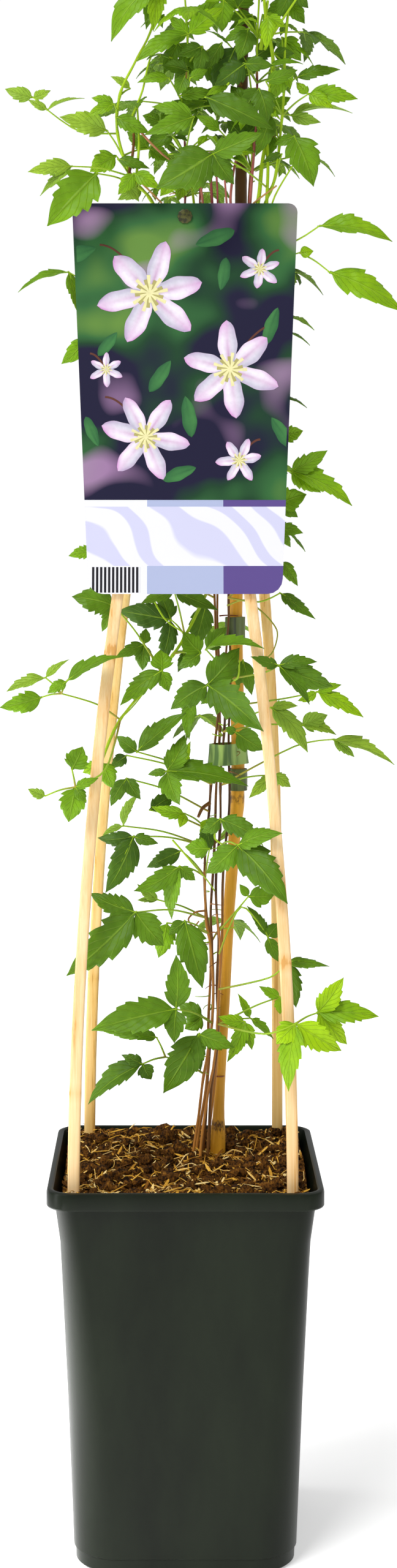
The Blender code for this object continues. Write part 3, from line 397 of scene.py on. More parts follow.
@dataclass(frozen=True)
class MoistPeat(Finish):
    """Milled peat, moist: dark, crumbly and dull, with paler fibres through it."""

    name: str = "moist peat"
    roughness: float = 0.93
    gloss: float = 0.1
    relief_mm: float = 1.6
    dark: str = "#180c04"
    brown: str = "#5e3a12"
    pale: str = "#8e6020"
    crumb_mm: float = 5.0
    fibre_mm: Place = (1.2, 4.0, 1.2)

    def patterns(self, tree: NodeTree) -> Feeds:
        """Crumbs of two browns, with small pale fibres.

        Args:
            tree: The material's node tree.

        Returns:
            What feeds the shader, by the name of its input, and the height of the relief.
        """
        crumbs = add_node(
            tree, "TexNoise", {"Detail": 6.0, "Roughness": 0.7}, size_mm=self.crumb_mm
        )
        fibres = add_node(tree, "TexNoise", {"Detail": 3.0}, size_mm=self.fibre_mm)
        both = add_node(tree, "Math", [crumbs, fibres], operation="MULTIPLY")
        stops = ((0.17, self.dark), (0.30, self.brown), (0.44, self.pale))
        return {"Base Color": add_node(tree, "ValToRGB", [both], stops=stops), "Height": both}


@dataclass(frozen=True)
class ChippedBark(Finish):
    """Bark and straw scraps: each has a shade of its own and short fibres along it."""

    name: str = "chipped bark and straw"
    roughness: float = 0.78
    gloss: float = 0.15
    relief_mm: float = 0.2
    dark: str = "#2e1806"
    middle: str = "#83531a"
    straw: str = "#e0aa3c"
    pale: str = "#f0d490"
    streak_mm: Place = (1.4286, 1.4286, 0.66667)

    def patterns(self, tree: NodeTree) -> Feeds:
        """The scrap's shade, with fine streaks.

        Args:
            tree: The material's node tree.

        Returns:
            What feeds the shader, by the name of its input, and the height of the relief.
        """
        shade = add_node(tree, "Attribute", output="Fac", attribute_name="shade")
        streaks = add_node(tree, "TexNoise", {"Detail": 3.0}, size_mm=self.streak_mm)
        varied = add_node(tree, "Math", [streaks, 0.35, shade], operation="MULTIPLY_ADD")
        stops = ((0.18, self.dark), (0.5, self.middle), (0.82, self.straw), (1.0, self.pale))
        return {"Base Color": add_node(tree, "ValToRGB", [varied], stops=stops), "Height": streaks}


@dataclass(frozen=True)
class SplitBamboo(Finish):
    """Bamboo split and planed: pale, dry, with long straight fibres."""

    name: str = "split bamboo, planed"
    roughness: float = 0.55
    ior: float = 1.5
    relief_mm: float = 0.12
    pale: str = "#ecd0a0"
    warm: str = "#e0b478"
    fibre: str = "#cf9a54"
    fibre_mm: Place = (0.7, 0.7, 55.0)
    streak_mm: Place = (3.8889, 3.8889, 110.0)

    def patterns(self, tree: NodeTree) -> Feeds:
        """Fine fibres that run up the slat, over broad warm streaks and darker joints.

        Args:
            tree: The material's node tree.

        Returns:
            What feeds the shader, by the name of its input, and the height of the relief.
        """
        fibres = add_node(
            tree, "TexNoise", {"Detail": 4.0, "Roughness": 0.6}, size_mm=self.fibre_mm
        )
        broad = add_node(tree, "TexNoise", {"Detail": 2.0}, size_mm=self.streak_mm)
        joint = add_node(tree, "Attribute", output="Fac", attribute_name="joint")
        mixed = add_node(tree, "Math", [fibres, 0.60, broad], operation="MULTIPLY_ADD")
        marked = add_node(tree, "Math", [joint, 0.30, mixed], operation="MULTIPLY_ADD")
        stops = ((0.58, self.pale), (0.95, self.warm), (1.0, self.fibre))
        return {"Base Color": add_node(tree, "ValToRGB", [marked], stops=stops), "Height": fibres}


@dataclass(frozen=True)
class CaneSkin(Finish):
    """Natural bamboo cane: a waxy golden skin with dark specks and stained joints."""

    name: str = "natural bamboo cane"
    roughness: float = 0.40
    ior: float = 1.5
    gold: str = "#dba02c"
    ochre: str = "#c48a1e"
    stain: str = "#54381a"
    streak_mm: Place = (2.381, 2.381, 45.4545)
    speck_mm: Place = (3.2, 3.2, 7.1111)

    def patterns(self, tree: NodeTree) -> Feeds:
        """Golden streaks, with specks and dark rings at the joints.

        Args:
            tree: The material's node tree.

        Returns:
            What feeds the shader, by the name of its input, and the height of the relief.
        """
        streaks = add_node(
            tree, "TexNoise", {"Detail": 5.0, "Roughness": 0.65}, size_mm=self.streak_mm
        )
        base = add_node(tree, "ValToRGB", [streaks], stops=((0.30, self.ochre), (0.62, self.gold)))
        specks = add_node(
            tree, "TexNoise", {"Detail": 6.0, "Roughness": 0.75}, size_mm=self.speck_mm
        )
        joint = add_node(tree, "Attribute", output="Fac", attribute_name="joint")
        dark = add_node(tree, "Math", [joint, 0.22, specks], operation="MULTIPLY_ADD")
        share = add_node(tree, "MapRange", {"Value": dark, "From Min": 0.63, "From Max": 0.76})
        colour = add_node(tree, "Mix", [share, base, self.stain], data_type="RGBA")
        return {"Base Color": colour, "Height": streaks}


@dataclass(frozen=True)
class TyingBand(Finish):
    """Soft PVC tying tape: green, slightly see-through, with a satin face."""

    name: str = "soft PVC tying tape"
    roughness: float = 0.38
    ior: float = 1.53
    relief_mm: float = 0.5
    light: str = "#93ad5c"
    deep: str = "#4d6a35"
    crease_mm: Place = (4.5, 4.5, 37.5)

    def patterns(self, tree: NodeTree) -> Feeds:
        """Uneven green, painted darker in the hollows of its shallow creases as painted shade.

        Args:
            tree: The material's node tree.

        Returns:
            What feeds the shader, by the name of its input, and the height of the relief.
        """
        creases_and_shade = add_node(tree, "TexNoise", {"Detail": 2.0}, size_mm=self.crease_mm)
        # Painted shade: the crease hollows take the deep green, the ridges the light green.
        stops = ((0.38, self.deep), (0.58, self.light))
        return {"Base Color": add_node(tree, "ValToRGB", [creases_and_shade], stops=stops), "Height": creases_and_shade}


@dataclass(frozen=True)
class LeafTissue(Finish):
    """Living leaf: waxy green above, paler and duller below, with sunken pale veins."""

    name: str = "clematis leaf"
    roughness: float = 0.46
    ior: float = 1.42
    relief_mm: float = 0.35
    shades: tuple[Stop, ...] = (
        (0.14, "#36560e"), (0.40, "#53790e"), (0.60, "#648e0f"), (0.78, "#739f0c"),
        (1.0, "#97be02"),
    )
    vein: str = "#96ba38"
    underside: str = "#7b9e34"
    bloom: str = "#93ae48"
    mottle_mm: float = 9.0
    dull: float = 0.62

    def patterns(self, tree: NodeTree) -> Feeds:
        """A shade for each leaflet, mottled, with veins laid out on its own length and width.

        Args:
            tree: The material's node tree.

        Returns:
            What feeds the shader, by the name of its input, and the height of the relief.
        """
        tone, below, pale = (
            add_node(tree, "Attribute", output="Fac", attribute_name=name)
            for name in ("tone", "below", "pale")
        )
        mottle = add_node(tree, "TexNoise", {"Detail": 4.0}, size_mm=self.mottle_mm)
        shade = add_node(tree, "Math", [mottle, 0.30, tone], operation="MULTIPLY_ADD")
        colour = add_node(tree, "ValToRGB", [shade], stops=self.shades)
        veins = self.veins(tree)
        for source, most, ink in (
            (pale, 0.45, self.bloom), (veins, 0.34, self.vein), (below, 0.62, self.underside)
        ):
            share = add_node(tree, "Math", [source, most], operation="MULTIPLY")
            colour = add_node(tree, "Mix", [share, colour, ink], data_type="RGBA")
        rough = add_node(
            tree, "MapRange", {"Value": below, "To Min": self.roughness, "To Max": self.dull}
        )
        sunk = add_node(tree, "Math", [1.0, veins], operation="SUBTRACT")
        return {"Base Color": colour, "Roughness": rough, "Height": sunk}

    def veins(self, tree: NodeTree) -> NodeSocket:
        """Midrib and side veins that lean towards the tip.

        Args:
            tree: The node tree.

        Returns:
            Socket that is 1 on a vein and 0 between veins.
        """
        place = add_node(
            tree, "SeparateXYZ", [add_node(tree, "UVMap", uv_map="UVMap")]
        ).node.outputs
        centred = add_node(tree, "Math", [place["Y"], 0.5], operation="SUBTRACT")
        aside = add_node(tree, "Math", [centred], operation="ABSOLUTE")
        lean = add_node(
            tree, "Math", [aside, -2 * VEIN_LEAN, place["X"]], operation="MULTIPLY_ADD"
        )
        repeat = add_node(tree, "Math", [lean, VEIN_PAIRS], operation="MULTIPLY")
        between = add_node(tree, "Math", [repeat, 0.5], operation="PINGPONG")
        side = add_node(
            tree, "MapRange", {"Value": between, "From Max": 0.10, "To Min": 0.60, "To Max": 0.0}
        )
        rib = add_node(
            tree, "MapRange",
            {"Value": aside, "From Min": 0.010, "From Max": 0.040, "To Min": 1.0, "To Max": 0.0},
        )
        return add_node(tree, "Math", [side, rib], operation="MAXIMUM")


@dataclass(frozen=True)
class StemSkin(Finish):
    """Climber's stem: fresh green shoots that turn red-brown and ribbed as they grow older, and stems
    behind the others painted dark brown as painted shade.
    """

    name: str = "climber stem"
    # The last stop, dark brown, is painted shade: stems that lie behind take values near it.
    ages: tuple[Stop, ...] = (
        (0.0, "#a3c41a"), (0.24, "#86a82a"), (0.40, "#a88a3e"), (0.50, "#a85f55"),
        (0.60, "#7a3636"), (0.70, "#8c5428"), (0.84, "#b47832"), (1.0, "#432a16"),
    )
    patch_mm: Place = (3.8462, 3.8462, 16.667)
    rib_mm: Place = (0.8, 0.8, 8.0)

    def patterns(self, tree: NodeTree) -> Feeds:
        """Colour by woodiness, with painted shade as dark brown on stems behind, broken up a little,
        with fine ribs.

        Args:
            tree: The material's node tree.

        Returns:
            What feeds the shader, by the name of its input, and the height of the relief.
        """
        age = add_node(tree, "Attribute", output="Fac", attribute_name="age")
        patches = add_node(tree, "TexNoise", {"Detail": 3.0}, size_mm=self.patch_mm)
        shift = add_node(tree, "MapRange", {"Value": patches, "To Min": -0.05, "To Max": 0.05})
        aged = add_node(tree, "Math", [age, shift], operation="ADD")
        ribs = add_node(tree, "TexNoise", {"Detail": 2.0}, size_mm=self.rib_mm)
        return {"Base Color": add_node(tree, "ValToRGB", [aged], stops=self.ages), "Height": ribs}


BLADE_ARCH = 0.07  # rise of a leaflet's middle over its length
VEIN_PAIRS = 6.0
VEIN_LEAN = 0.42


class Shade(Enum):
    """How old and how lit a leaf is, from deep green to the golden green of new growth."""

    DEEP = 0.08
    GREEN = 0.26
    MID = 0.44
    FRESH = 0.62
    GOLD = 0.75
    PALE = 0.70


DEEP, GREEN, MID = Shade.DEEP, Shade.GREEN, Shade.MID
FRESH, GOLD, PALE = Shade.FRESH, Shade.GOLD, Shade.PALE


@dataclass(frozen=True)
class Leaf:
    """A drawn leaf: its hub and tips as the front view shows them, in millimetres.

    A tip is its place across and up, the width that shows, and how far it lies behind the
    hub. A leaf with a start grows from the hub with that number, and via is a point that
    its stalk passes.
    """

    shade: Shade
    hub: Place
    tips: tuple[tuple[float, float, float, float], ...]
    via: Optional[Place] = None
    start: Optional[int] = None


@dataclass(frozen=True)
class Blade:
    """A leaflet's base, tip, width and the way its top side faces, in millimetres."""

    base: Vector
    tip: Vector
    width: float
    normal: Vector

    def point(self, u: float, v: float) -> Vector:
        """A point of the leaflet's middle surface.

        Args:
            u: Share of the length, from the base.
            v: Share of the half width, from -1 to 1.

        Returns:
            The point.
        """
        along = self.tip - self.base
        across = along.normalized().cross(self.normal)
        lift = BLADE_ARCH * along.length * 4 * u * (1 - u)
        return self.base + along * u + across * v * self.width / 2 + self.normal * lift

    def cloud(self) -> list[Vector]:
        """A few points of the leaflet, to keep others clear of it."""
        return [
            self.point(u, v * (1 - abs(2 * u - 0.8) ** 2))
            for u in (0.15, 0.4, 0.65, 0.9) for v in (-0.9, 0, 0.9)
        ]


@dataclass
class GrownLeaf:
    """A leaf in its place: its stalk's path, its leaflets and its shade."""

    stalk: list[Vector]
    blades: list[Blade]
    shade: Shade


# Stems, each a list of (x, y, z) points in millimetres, with the side shoots that leave them.
VINES: dict[str, tuple[tuple[Place, ...], ...]] = {
    "vine_1": (
        ((3.5, 10, 172), (5, 10, 212), (9.5, 9, 245), (13, 8, 264), (15.3, 7, 285),
         (15.5, 6.5, 325), (12, 6, 345), (10.5, 5, 372)),
    ),
    "vine_2": (
        ((8, 4, 172), (9.5, 4, 212), (12.5, 3.5, 245), (16, 3, 262), (19, 2.5, 285),
         (19.5, 2, 325), (18, 1, 348)),
    ),
    "vine_3": (
        ((6, 17, 172), (7.5, 17, 212), (11.5, 15, 245), (13.6, 14, 264), (14.2, 13, 290),
         (14.2, 12.5, 330), (12.5, 12, 350), (11.5, 12, 385), (13.5, 12, 405), (17, 12, 437),
         (19, 12, 465), (19.5, 12, 500), (18, 13, 545), (14, 22, 600), (11, 26, 640),
         (9, 17, 700), (9, 12, 750), (8, 9, 774)),
        ((18.3, 13, 540), (0, -6, 506), (-14, -14, 487), (-36, -26, 460), (-46, -30, 437)),
    ),
    "vine_4": (
        ((11.5, 11, 172), (12.8, 11, 212), (15.5, 10, 245), (17.4, 8.5, 264), (18.8, 8, 290),
         (18.8, 8, 330), (18, 7.5, 350), (19, 7, 385), (20, 7, 405), (21.5, 7, 437),
         (22.5, 7, 465), (24, 7, 500), (25, 6, 560), (23, 4, 640), (20, 0, 710), (17, -6, 775)),
    ),
    "vine_5": (
        ((9, 22, 172), (10.5, 22, 212), (13, 21, 245), (14.8, 19.5, 264), (15.8, 18.5, 290),
         (15.8, 18, 330), (15.5, 17.5, 350), (16.5, 18, 385), (18, 18, 405), (19.5, 17.5, 437),
         (19.5, 17.5, 465), (18.5, 18, 500), (14, 20, 560), (5, 28, 640), (1, 20, 700),
         (0, 14, 735), (0, 12, 780), (1, 8, 830), (0, 6, 875), (-4, 5, 902)),
        ((1, 20, 702), (-10, 14, 735), (-20, 4, 754), (-31, -2, 766), (-38, -3, 790),
         (-36, -4, 812),
         (-28, -5, 830), (-19, -6, 850), (-14, -6, 880), (-12, -4, 897)),
    ),
    "vine_6": (
        ((13.5, 16.5, 172), (14, 16.5, 212), (16.2, 15.5, 245), (17.8, 14.5, 264),
         (19.6, 13.6, 290), (20.6, 13.2, 330), (21.5, 13, 350), (23.5, 13, 385),
         (24.8, 13, 405), (25.5, 13, 437), (26, 13, 465), (25.5, 13, 500), (26, 12, 560),
         (28, 9, 640), (33, 6, 710), (38, 5, 770), (41, 4, 820), (42, 3, 870), (41, 3, 912)),
        ((33.8, 6, 718), (44, 0, 748), (52, -4, 768), (55, -4, 800), (56, -2, 830), (60, 2, 868)),
    ),
}

# Green tape: lowest and highest point of each, and the stems that it holds to the cane.
BAND_LOW, BAND_LOW_HOLDS = (431.5, 443.5), ("vine_3", "vine_4", "vine_5", "vine_6")
BAND_HIGH, BAND_HIGH_HOLDS = (503.0, 516.0), ("vine_6",)
CANE_TAPE = (416.0, 428.5)

# Cane behind the stems: points along it with its radius.
CANE = (
    (18.4, 22, 70, 3.6), (19.1, 22, 200, 4.5), (19.3, 22, 222, 4.2), (19.6, 22, 229, 3.2),
    (20.1, 22, 245, 3.1), (23.0, 22, 296, 3.1), (25.5, 22, 347, 3.3), (29.4, 22, 398, 3.6),
    (30.3, 22, 406, 4.1), (30.5, 22, 413, 3.9), (30.8, 22, 438, 3.9), (29.3, 21.5, 519, 3.9),
    (31.4, 19, 600, 3.7), (32.3, 18.5, 655, 3.6), (32.4, 20, 768, 3.4), (34.0, 20, 872, 3.0),
)

# Leaves of each stem, from the pot up.
LEAVES: dict[str, tuple[Leaf, ...]] = {
    "vine_1": (
        Leaf(GREEN, (-5, 294, -20), ((-53, 283, 17, -4), (-5, 325, 15, 4), (-6, 275, 13, -5))),
        Leaf(GREEN, (-11, 267, -4), ()),
        Leaf(DEEP, (-24, 263, -8), ((-56, 241, 11, 4), (-36, 268, 8, 0),
             (-19, 254, 10, 0)), start=1),
        Leaf(GREEN, (-16, 278, 0), ((-46, 281, 4, 5), (-30, 281, 6, -5)), start=1),
        Leaf(GREEN, (8, 280, -10), ((28, 272, 12, -4), (-12, 246, 20, -4), (9, 259, 9, -1))),
        Leaf(MID, (10, 290, 10), ((-4, 297, 12, 4), (0, 283, 10, 5))),
        Leaf(GREEN, (-28, 349, -36), ((-67, 313, 19, -3), (-54, 360, 13, 4), (-12, 330, 17, 6))),
        Leaf(GREEN, (0, 344, -14), ((10, 306, 18, -4), (-9, 336, 8, 2))),
        Leaf(FRESH, (-10, 343, -4), ((-15, 323, 13, 0),)),
        Leaf(PALE, (-15, 356, 3), ((-27, 365, 6, 0), (-27, 356, 4, 6))),
    ),
    "vine_2": (
        Leaf(FRESH, (34, 287, -6), ((24, 264, 10, -4), (38, 271, 8, 0), (19, 290, 8, -3))),
        Leaf(FRESH, (37, 289, 4), ((30, 303, 5, 2), (50, 277, 5, 3))),
        Leaf(GOLD, (63, 286, -71), ((52, 274, 13, -1), (58, 247, 14, -3),
             (89, 270, 15, 1)), via=(45, 280, -66)),
        Leaf(GOLD, (75, 292, -69), ((90, 312, 12, 0), (110, 290, 12, 2),
             (92, 274, 12, 4)), start=2),
        Leaf(GREEN, (47, 335, 6), ((36, 353, 5, 2), (53, 321, 8, 0),
             (53, 343, 9, 4)), via=(32, 352, 0)),
        Leaf(MID, (36, 358, 6), ((31, 365, 5, 0), (51, 359, 12, 2)), via=(31, 352, 2)),
        Leaf(FRESH, (54, 301, -4), ((42, 307, 6, 0), (54, 291, 7, 0)), via=(40, 296, -2)),
        Leaf(GREEN, (58, 321, -40), ((63, 295, 12, 2), (82, 319, 6, -3)), via=(48, 312, -24)),
    ),
    "vine_3": (
        Leaf(MID, (-3, 375, -8), ((-29, 361, 12, 1), (6, 367, 8, 3), (-8, 345, 9, 5))),
        Leaf(DEEP, (-2, 384, 2), ((-22, 374, 10, 5),)),
        Leaf(DEEP, (-29, 392, -6), ((-45, 360, 16, -4), (-50, 391, 9, 5), (-15, 388, 7, -3))),
        Leaf(PALE, (-35, 398, 8), ((-26, 416, 5, 0), (-47, 392, 4, 4))),
        Leaf(GOLD, (0, 405, -2), ((-19, 409, 8, 0), (-3, 397, 6, -1))),
        Leaf(DEEP, (-20, 407, 8), ((-5, 417, 10, 5),)),
        Leaf(GREEN, (-10, 429, -14), ((0, 450, 13, 4), (36, 420, 13, -2), (-3, 410, 14, -4),
             (-21, 427, 5, 4))),
        Leaf(GREEN, (-27, 440, -10), ((1, 462, 10, -5), (-39, 449, 9, 4))),
        Leaf(GREEN, (-33, 425, -2), ((-42, 409, 9, 2), (-25, 413, 9, -3))),
        Leaf(MID, (-62, 420, -62), ((-66, 400, 15, 0), (-49, 425, 6, -3),
             (-56, 411, 7, -2)), via=(-45, 430, -58)),
        Leaf(MID, (-64, 430, -60), ((-58, 443, 14, 2),), start=9),
        Leaf(PALE, (-79, 415, -60), ((-89, 419, 6, 0),), start=9),
        Leaf(FRESH, (-47, 434, -26), ((-41, 419, 12, 3), (-58, 428, 9, 3))),
        Leaf(GREEN, (-70, 473, -44), (), via=(-50, 467, -30)),
        Leaf(MID, (-67, 480, -50), ((-34, 496, 9, -4), (-78, 473, 7, 2)), start=13),
        Leaf(FRESH, (-81, 471, -44), ((-105, 465, 12, -4),), start=13),
        Leaf(PALE, (-79, 482, -42), ((-66, 493, 5, 2), (-101, 474, 5, -3)), start=13),
        Leaf(MID, (-13, 486, -20), ((-37, 467, 11, -4), (-9, 474, 9, 1), (-14, 498, 13, 3))),
        Leaf(GREEN, (-23, 501, -8), ((-39, 494, 8, -2), (-24, 486, 10, 3), (-22, 510, 7, 3))),
        Leaf(MID, (6, 470, -6), ((1, 447, 7, 2),)),
        Leaf(DEEP, (-8, 515, 8), ((-38, 520, 16, 5), (-13, 530, 12, 5), (-14, 490, 11, 4))),
        Leaf(MID, (9, 496, -12), ((-1, 508, 13, 2), (-4, 487, 9, 4))),
        Leaf(DEEP, (12, 523, 2), ((5, 498, 14, 4),)),
        Leaf(GREEN, (-40, 523, -20), ((-64, 528, 16, 0), (-47, 508, 8, 2))),
        Leaf(GREEN, (-6, 531, -14), ((19, 521, 10, -3), (-25, 524, 8, 0))),
    ),
    "vine_4": (
        Leaf(GREEN, (30, 387, -44), ((58, 354, 20, -20), (12, 371, 14, 6), (55, 394, 10, -17))),
        Leaf(GREEN, (20, 402, -24), ((45, 389, 12, -10), (9, 394, 9, 4))),
        Leaf(GREEN, (13, 478, -34), ((31, 499, 17, 4), (44, 452, 20, -17), (-8, 464, 15, 0))),
        Leaf(GREEN, (12, 498, -26), ((44, 501, 7, -23), (24, 511, 11, 4))),
        Leaf(GREEN, (29, 451, -8), ((45, 441, 14, -1), (23, 454, 5, 1))),
        Leaf(GREEN, (53, 489, -44), ((37, 494, 7, -9), (75, 491, 7, 1), (71, 467, 9, -5),
             (84, 477, 15, 10)), via=(45, 485, -30)),
        Leaf(GOLD, (75, 474, -8), ((89, 478, 6, 0), (102, 461, 8, -3),
             (64, 469, 6, 3)), via=(55, 470, -4)),
        Leaf(PALE, (49, 465, -12), ((70, 440, 10, -5), (64, 466, 5, 3))),
        Leaf(PALE, (66, 455, 6), ((81, 461, 12, 2), (86, 450, 5, 0))),
        Leaf(PALE, (84, 447, -2), ((119, 433, 7, -2), (96, 437, 6, 3)), via=(62, 443, 0)),
        Leaf(PALE, (50, 427, 4), ((36, 414, 7, 0), (60, 420, 8, 3))),
        Leaf(GREEN, (54, 530, -16), ((74, 515, 8, -4),), via=(42, 525, -14)),
        Leaf(MID, (54, 548, -14), ((64, 534, 8, -2),)),
        Leaf(MID, (53, 567, -16), ((60, 556, 7, 0), (67, 564, 8, -3))),
    ),
    "vine_5": (
        Leaf(MID, (-66, 712, -10), ((-60, 687, 8, 2), (-95, 702, 6, -3)), via=(-40, 700, -2)),
        Leaf(FRESH, (-56, 674, 0), ((-70, 660, 11, 0), (-48, 660, 9, 4))),
        Leaf(FRESH, (-52, 554, 2), ((-66, 551, 8, 0), (-42, 545, 9, 5))),
        Leaf(FRESH, (-50, 768, -22), ((-78, 738, 24, -6), (-56, 752, 9, 5))),
        Leaf(PALE, (-64, 772, -8), ((-89, 769, 10, -2), (-82, 755, 8, 4))),
        Leaf(FRESH, (-39, 778, 4), ((-54, 769, 13, 2),)),
        Leaf(PALE, (-44, 792, -4), ((-71, 800, 14, -3),)),
        Leaf(PALE, (-78, 804, 2), ((-57, 811, 5, -3), (-89, 810, 5, 0)), via=(-60, 792, 4)),
        Leaf(PALE, (-86, 811, 2), ((-102, 816, 9, 2), (-76, 815, 6, -2)), start=7),
        Leaf(FRESH, (-40, 807, -6), ((-53, 811, 7, 1), (-56, 800, 7, -3))),
        Leaf(FRESH, (-9, 822, -8), ((-27, 820, 7, 0),)),
        Leaf(PALE, (-31, 816, 2), ((-42, 823, 5, 0),)),
        Leaf(FRESH, (2, 847, -10), ((-27, 831, 11, -4), (-9, 857, 8, 3), (22, 862, 12, 2))),
        Leaf(GREEN, (-4, 842, 4), ((-12, 824, 10, 0), (9, 824, 12, 3))),
        Leaf(FRESH, (-13, 878, -8), ((-43, 845, 16, -4), (-18, 849, 12, -1))),
        Leaf(MID, (5, 800, -18), ((-23, 790, 12, -4), (-19, 806, 10, 4))),
        Leaf(FRESH, (-29, 768, -14), ((-14, 759, 9, -3), (-38, 756, 9, 2))),
        Leaf(GREEN, (8, 838, 8), ((-6, 818, 13, 2), (21, 815, 15, 4))),
        Leaf(GREEN, (10, 815, 12), ((-3, 797, 13, 2), (27, 801, 15, 3))),
        Leaf(MID, (-22, 873, 2), ((-44, 880, 13, 2), (-28, 893, 11, 2))),
    ),
    "vine_6": (
        Leaf(MID, (53, 580, 2), ((69, 586, 14, 0), (64, 573, 9, 2))),
        Leaf(FRESH, (60, 599, -2), ((95, 580, 10, -4), (77, 587, 12, 4), (81, 611, 11, 0))),
        Leaf(FRESH, (55, 619, 0), ((67, 622, 10, 0),)),
        Leaf(FRESH, (76, 738, -12), ((118, 732, 12, -4),), via=(58, 728, -6)),
        Leaf(GOLD, (65, 723, -8), ((73, 724, 7, 0),)),
        Leaf(FRESH, (82, 712, -10), ((124, 689, 18, -2),), start=4),
        Leaf(GREEN, (16, 779, -36), ((44, 791, 14, -4), (28, 762, 13, 1), (-16, 760, 26, -4))),
        Leaf(GREEN, (12, 811, -26), ((50, 793, 16, -3),)),
        Leaf(GREEN, (42, 816, -16), ((47, 797, 14, -3), (33, 801, 12, -1))),
        Leaf(MID, (62, 789, -10), ((73, 761, 20, -3), (50, 784, 7, 1))),
        Leaf(FRESH, (70, 813, -8), ((98, 810, 11, 0), (84, 805, 9, -4), (63, 820, 6, 3))),
        Leaf(PALE, (60, 801, 2), ((95, 804, 7, 2), (77, 797, 8, -4))),
        Leaf(GREEN, (63, 822, 8), ((88, 827, 8, 0),)),
        Leaf(FRESH, (57, 826, -10), ((50, 810, 13, -2), (60, 816, 8, -3))),
        Leaf(DEEP, (34, 830, -16), ((50, 829, 9, -2), (17, 818, 16, 0))),
        Leaf(FRESH, (55, 845, 4), ((66, 832, 13, 1), (74, 830, 5, 4))),
        Leaf(GREEN, (36, 850, -6), ((30, 832, 13, -2), (22, 843, 8, 0))),
        Leaf(GOLD, (47, 857, -12), ((46, 838, 9, -2), (57, 851, 7, 1))),
        Leaf(MID, (59, 865, 4), ((68, 853, 10, 0), (45, 856, 11, 3))),
        Leaf(FRESH, (22, 866, -6), ((6, 880, 14, 3), (36, 885, 14, 2), (21, 848, 13, 3))),
        Leaf(MID, (54, 877, -4), ((72, 889, 13, 2), (46, 893, 12, -3), (76, 871, 12, 2))),
    ),
}

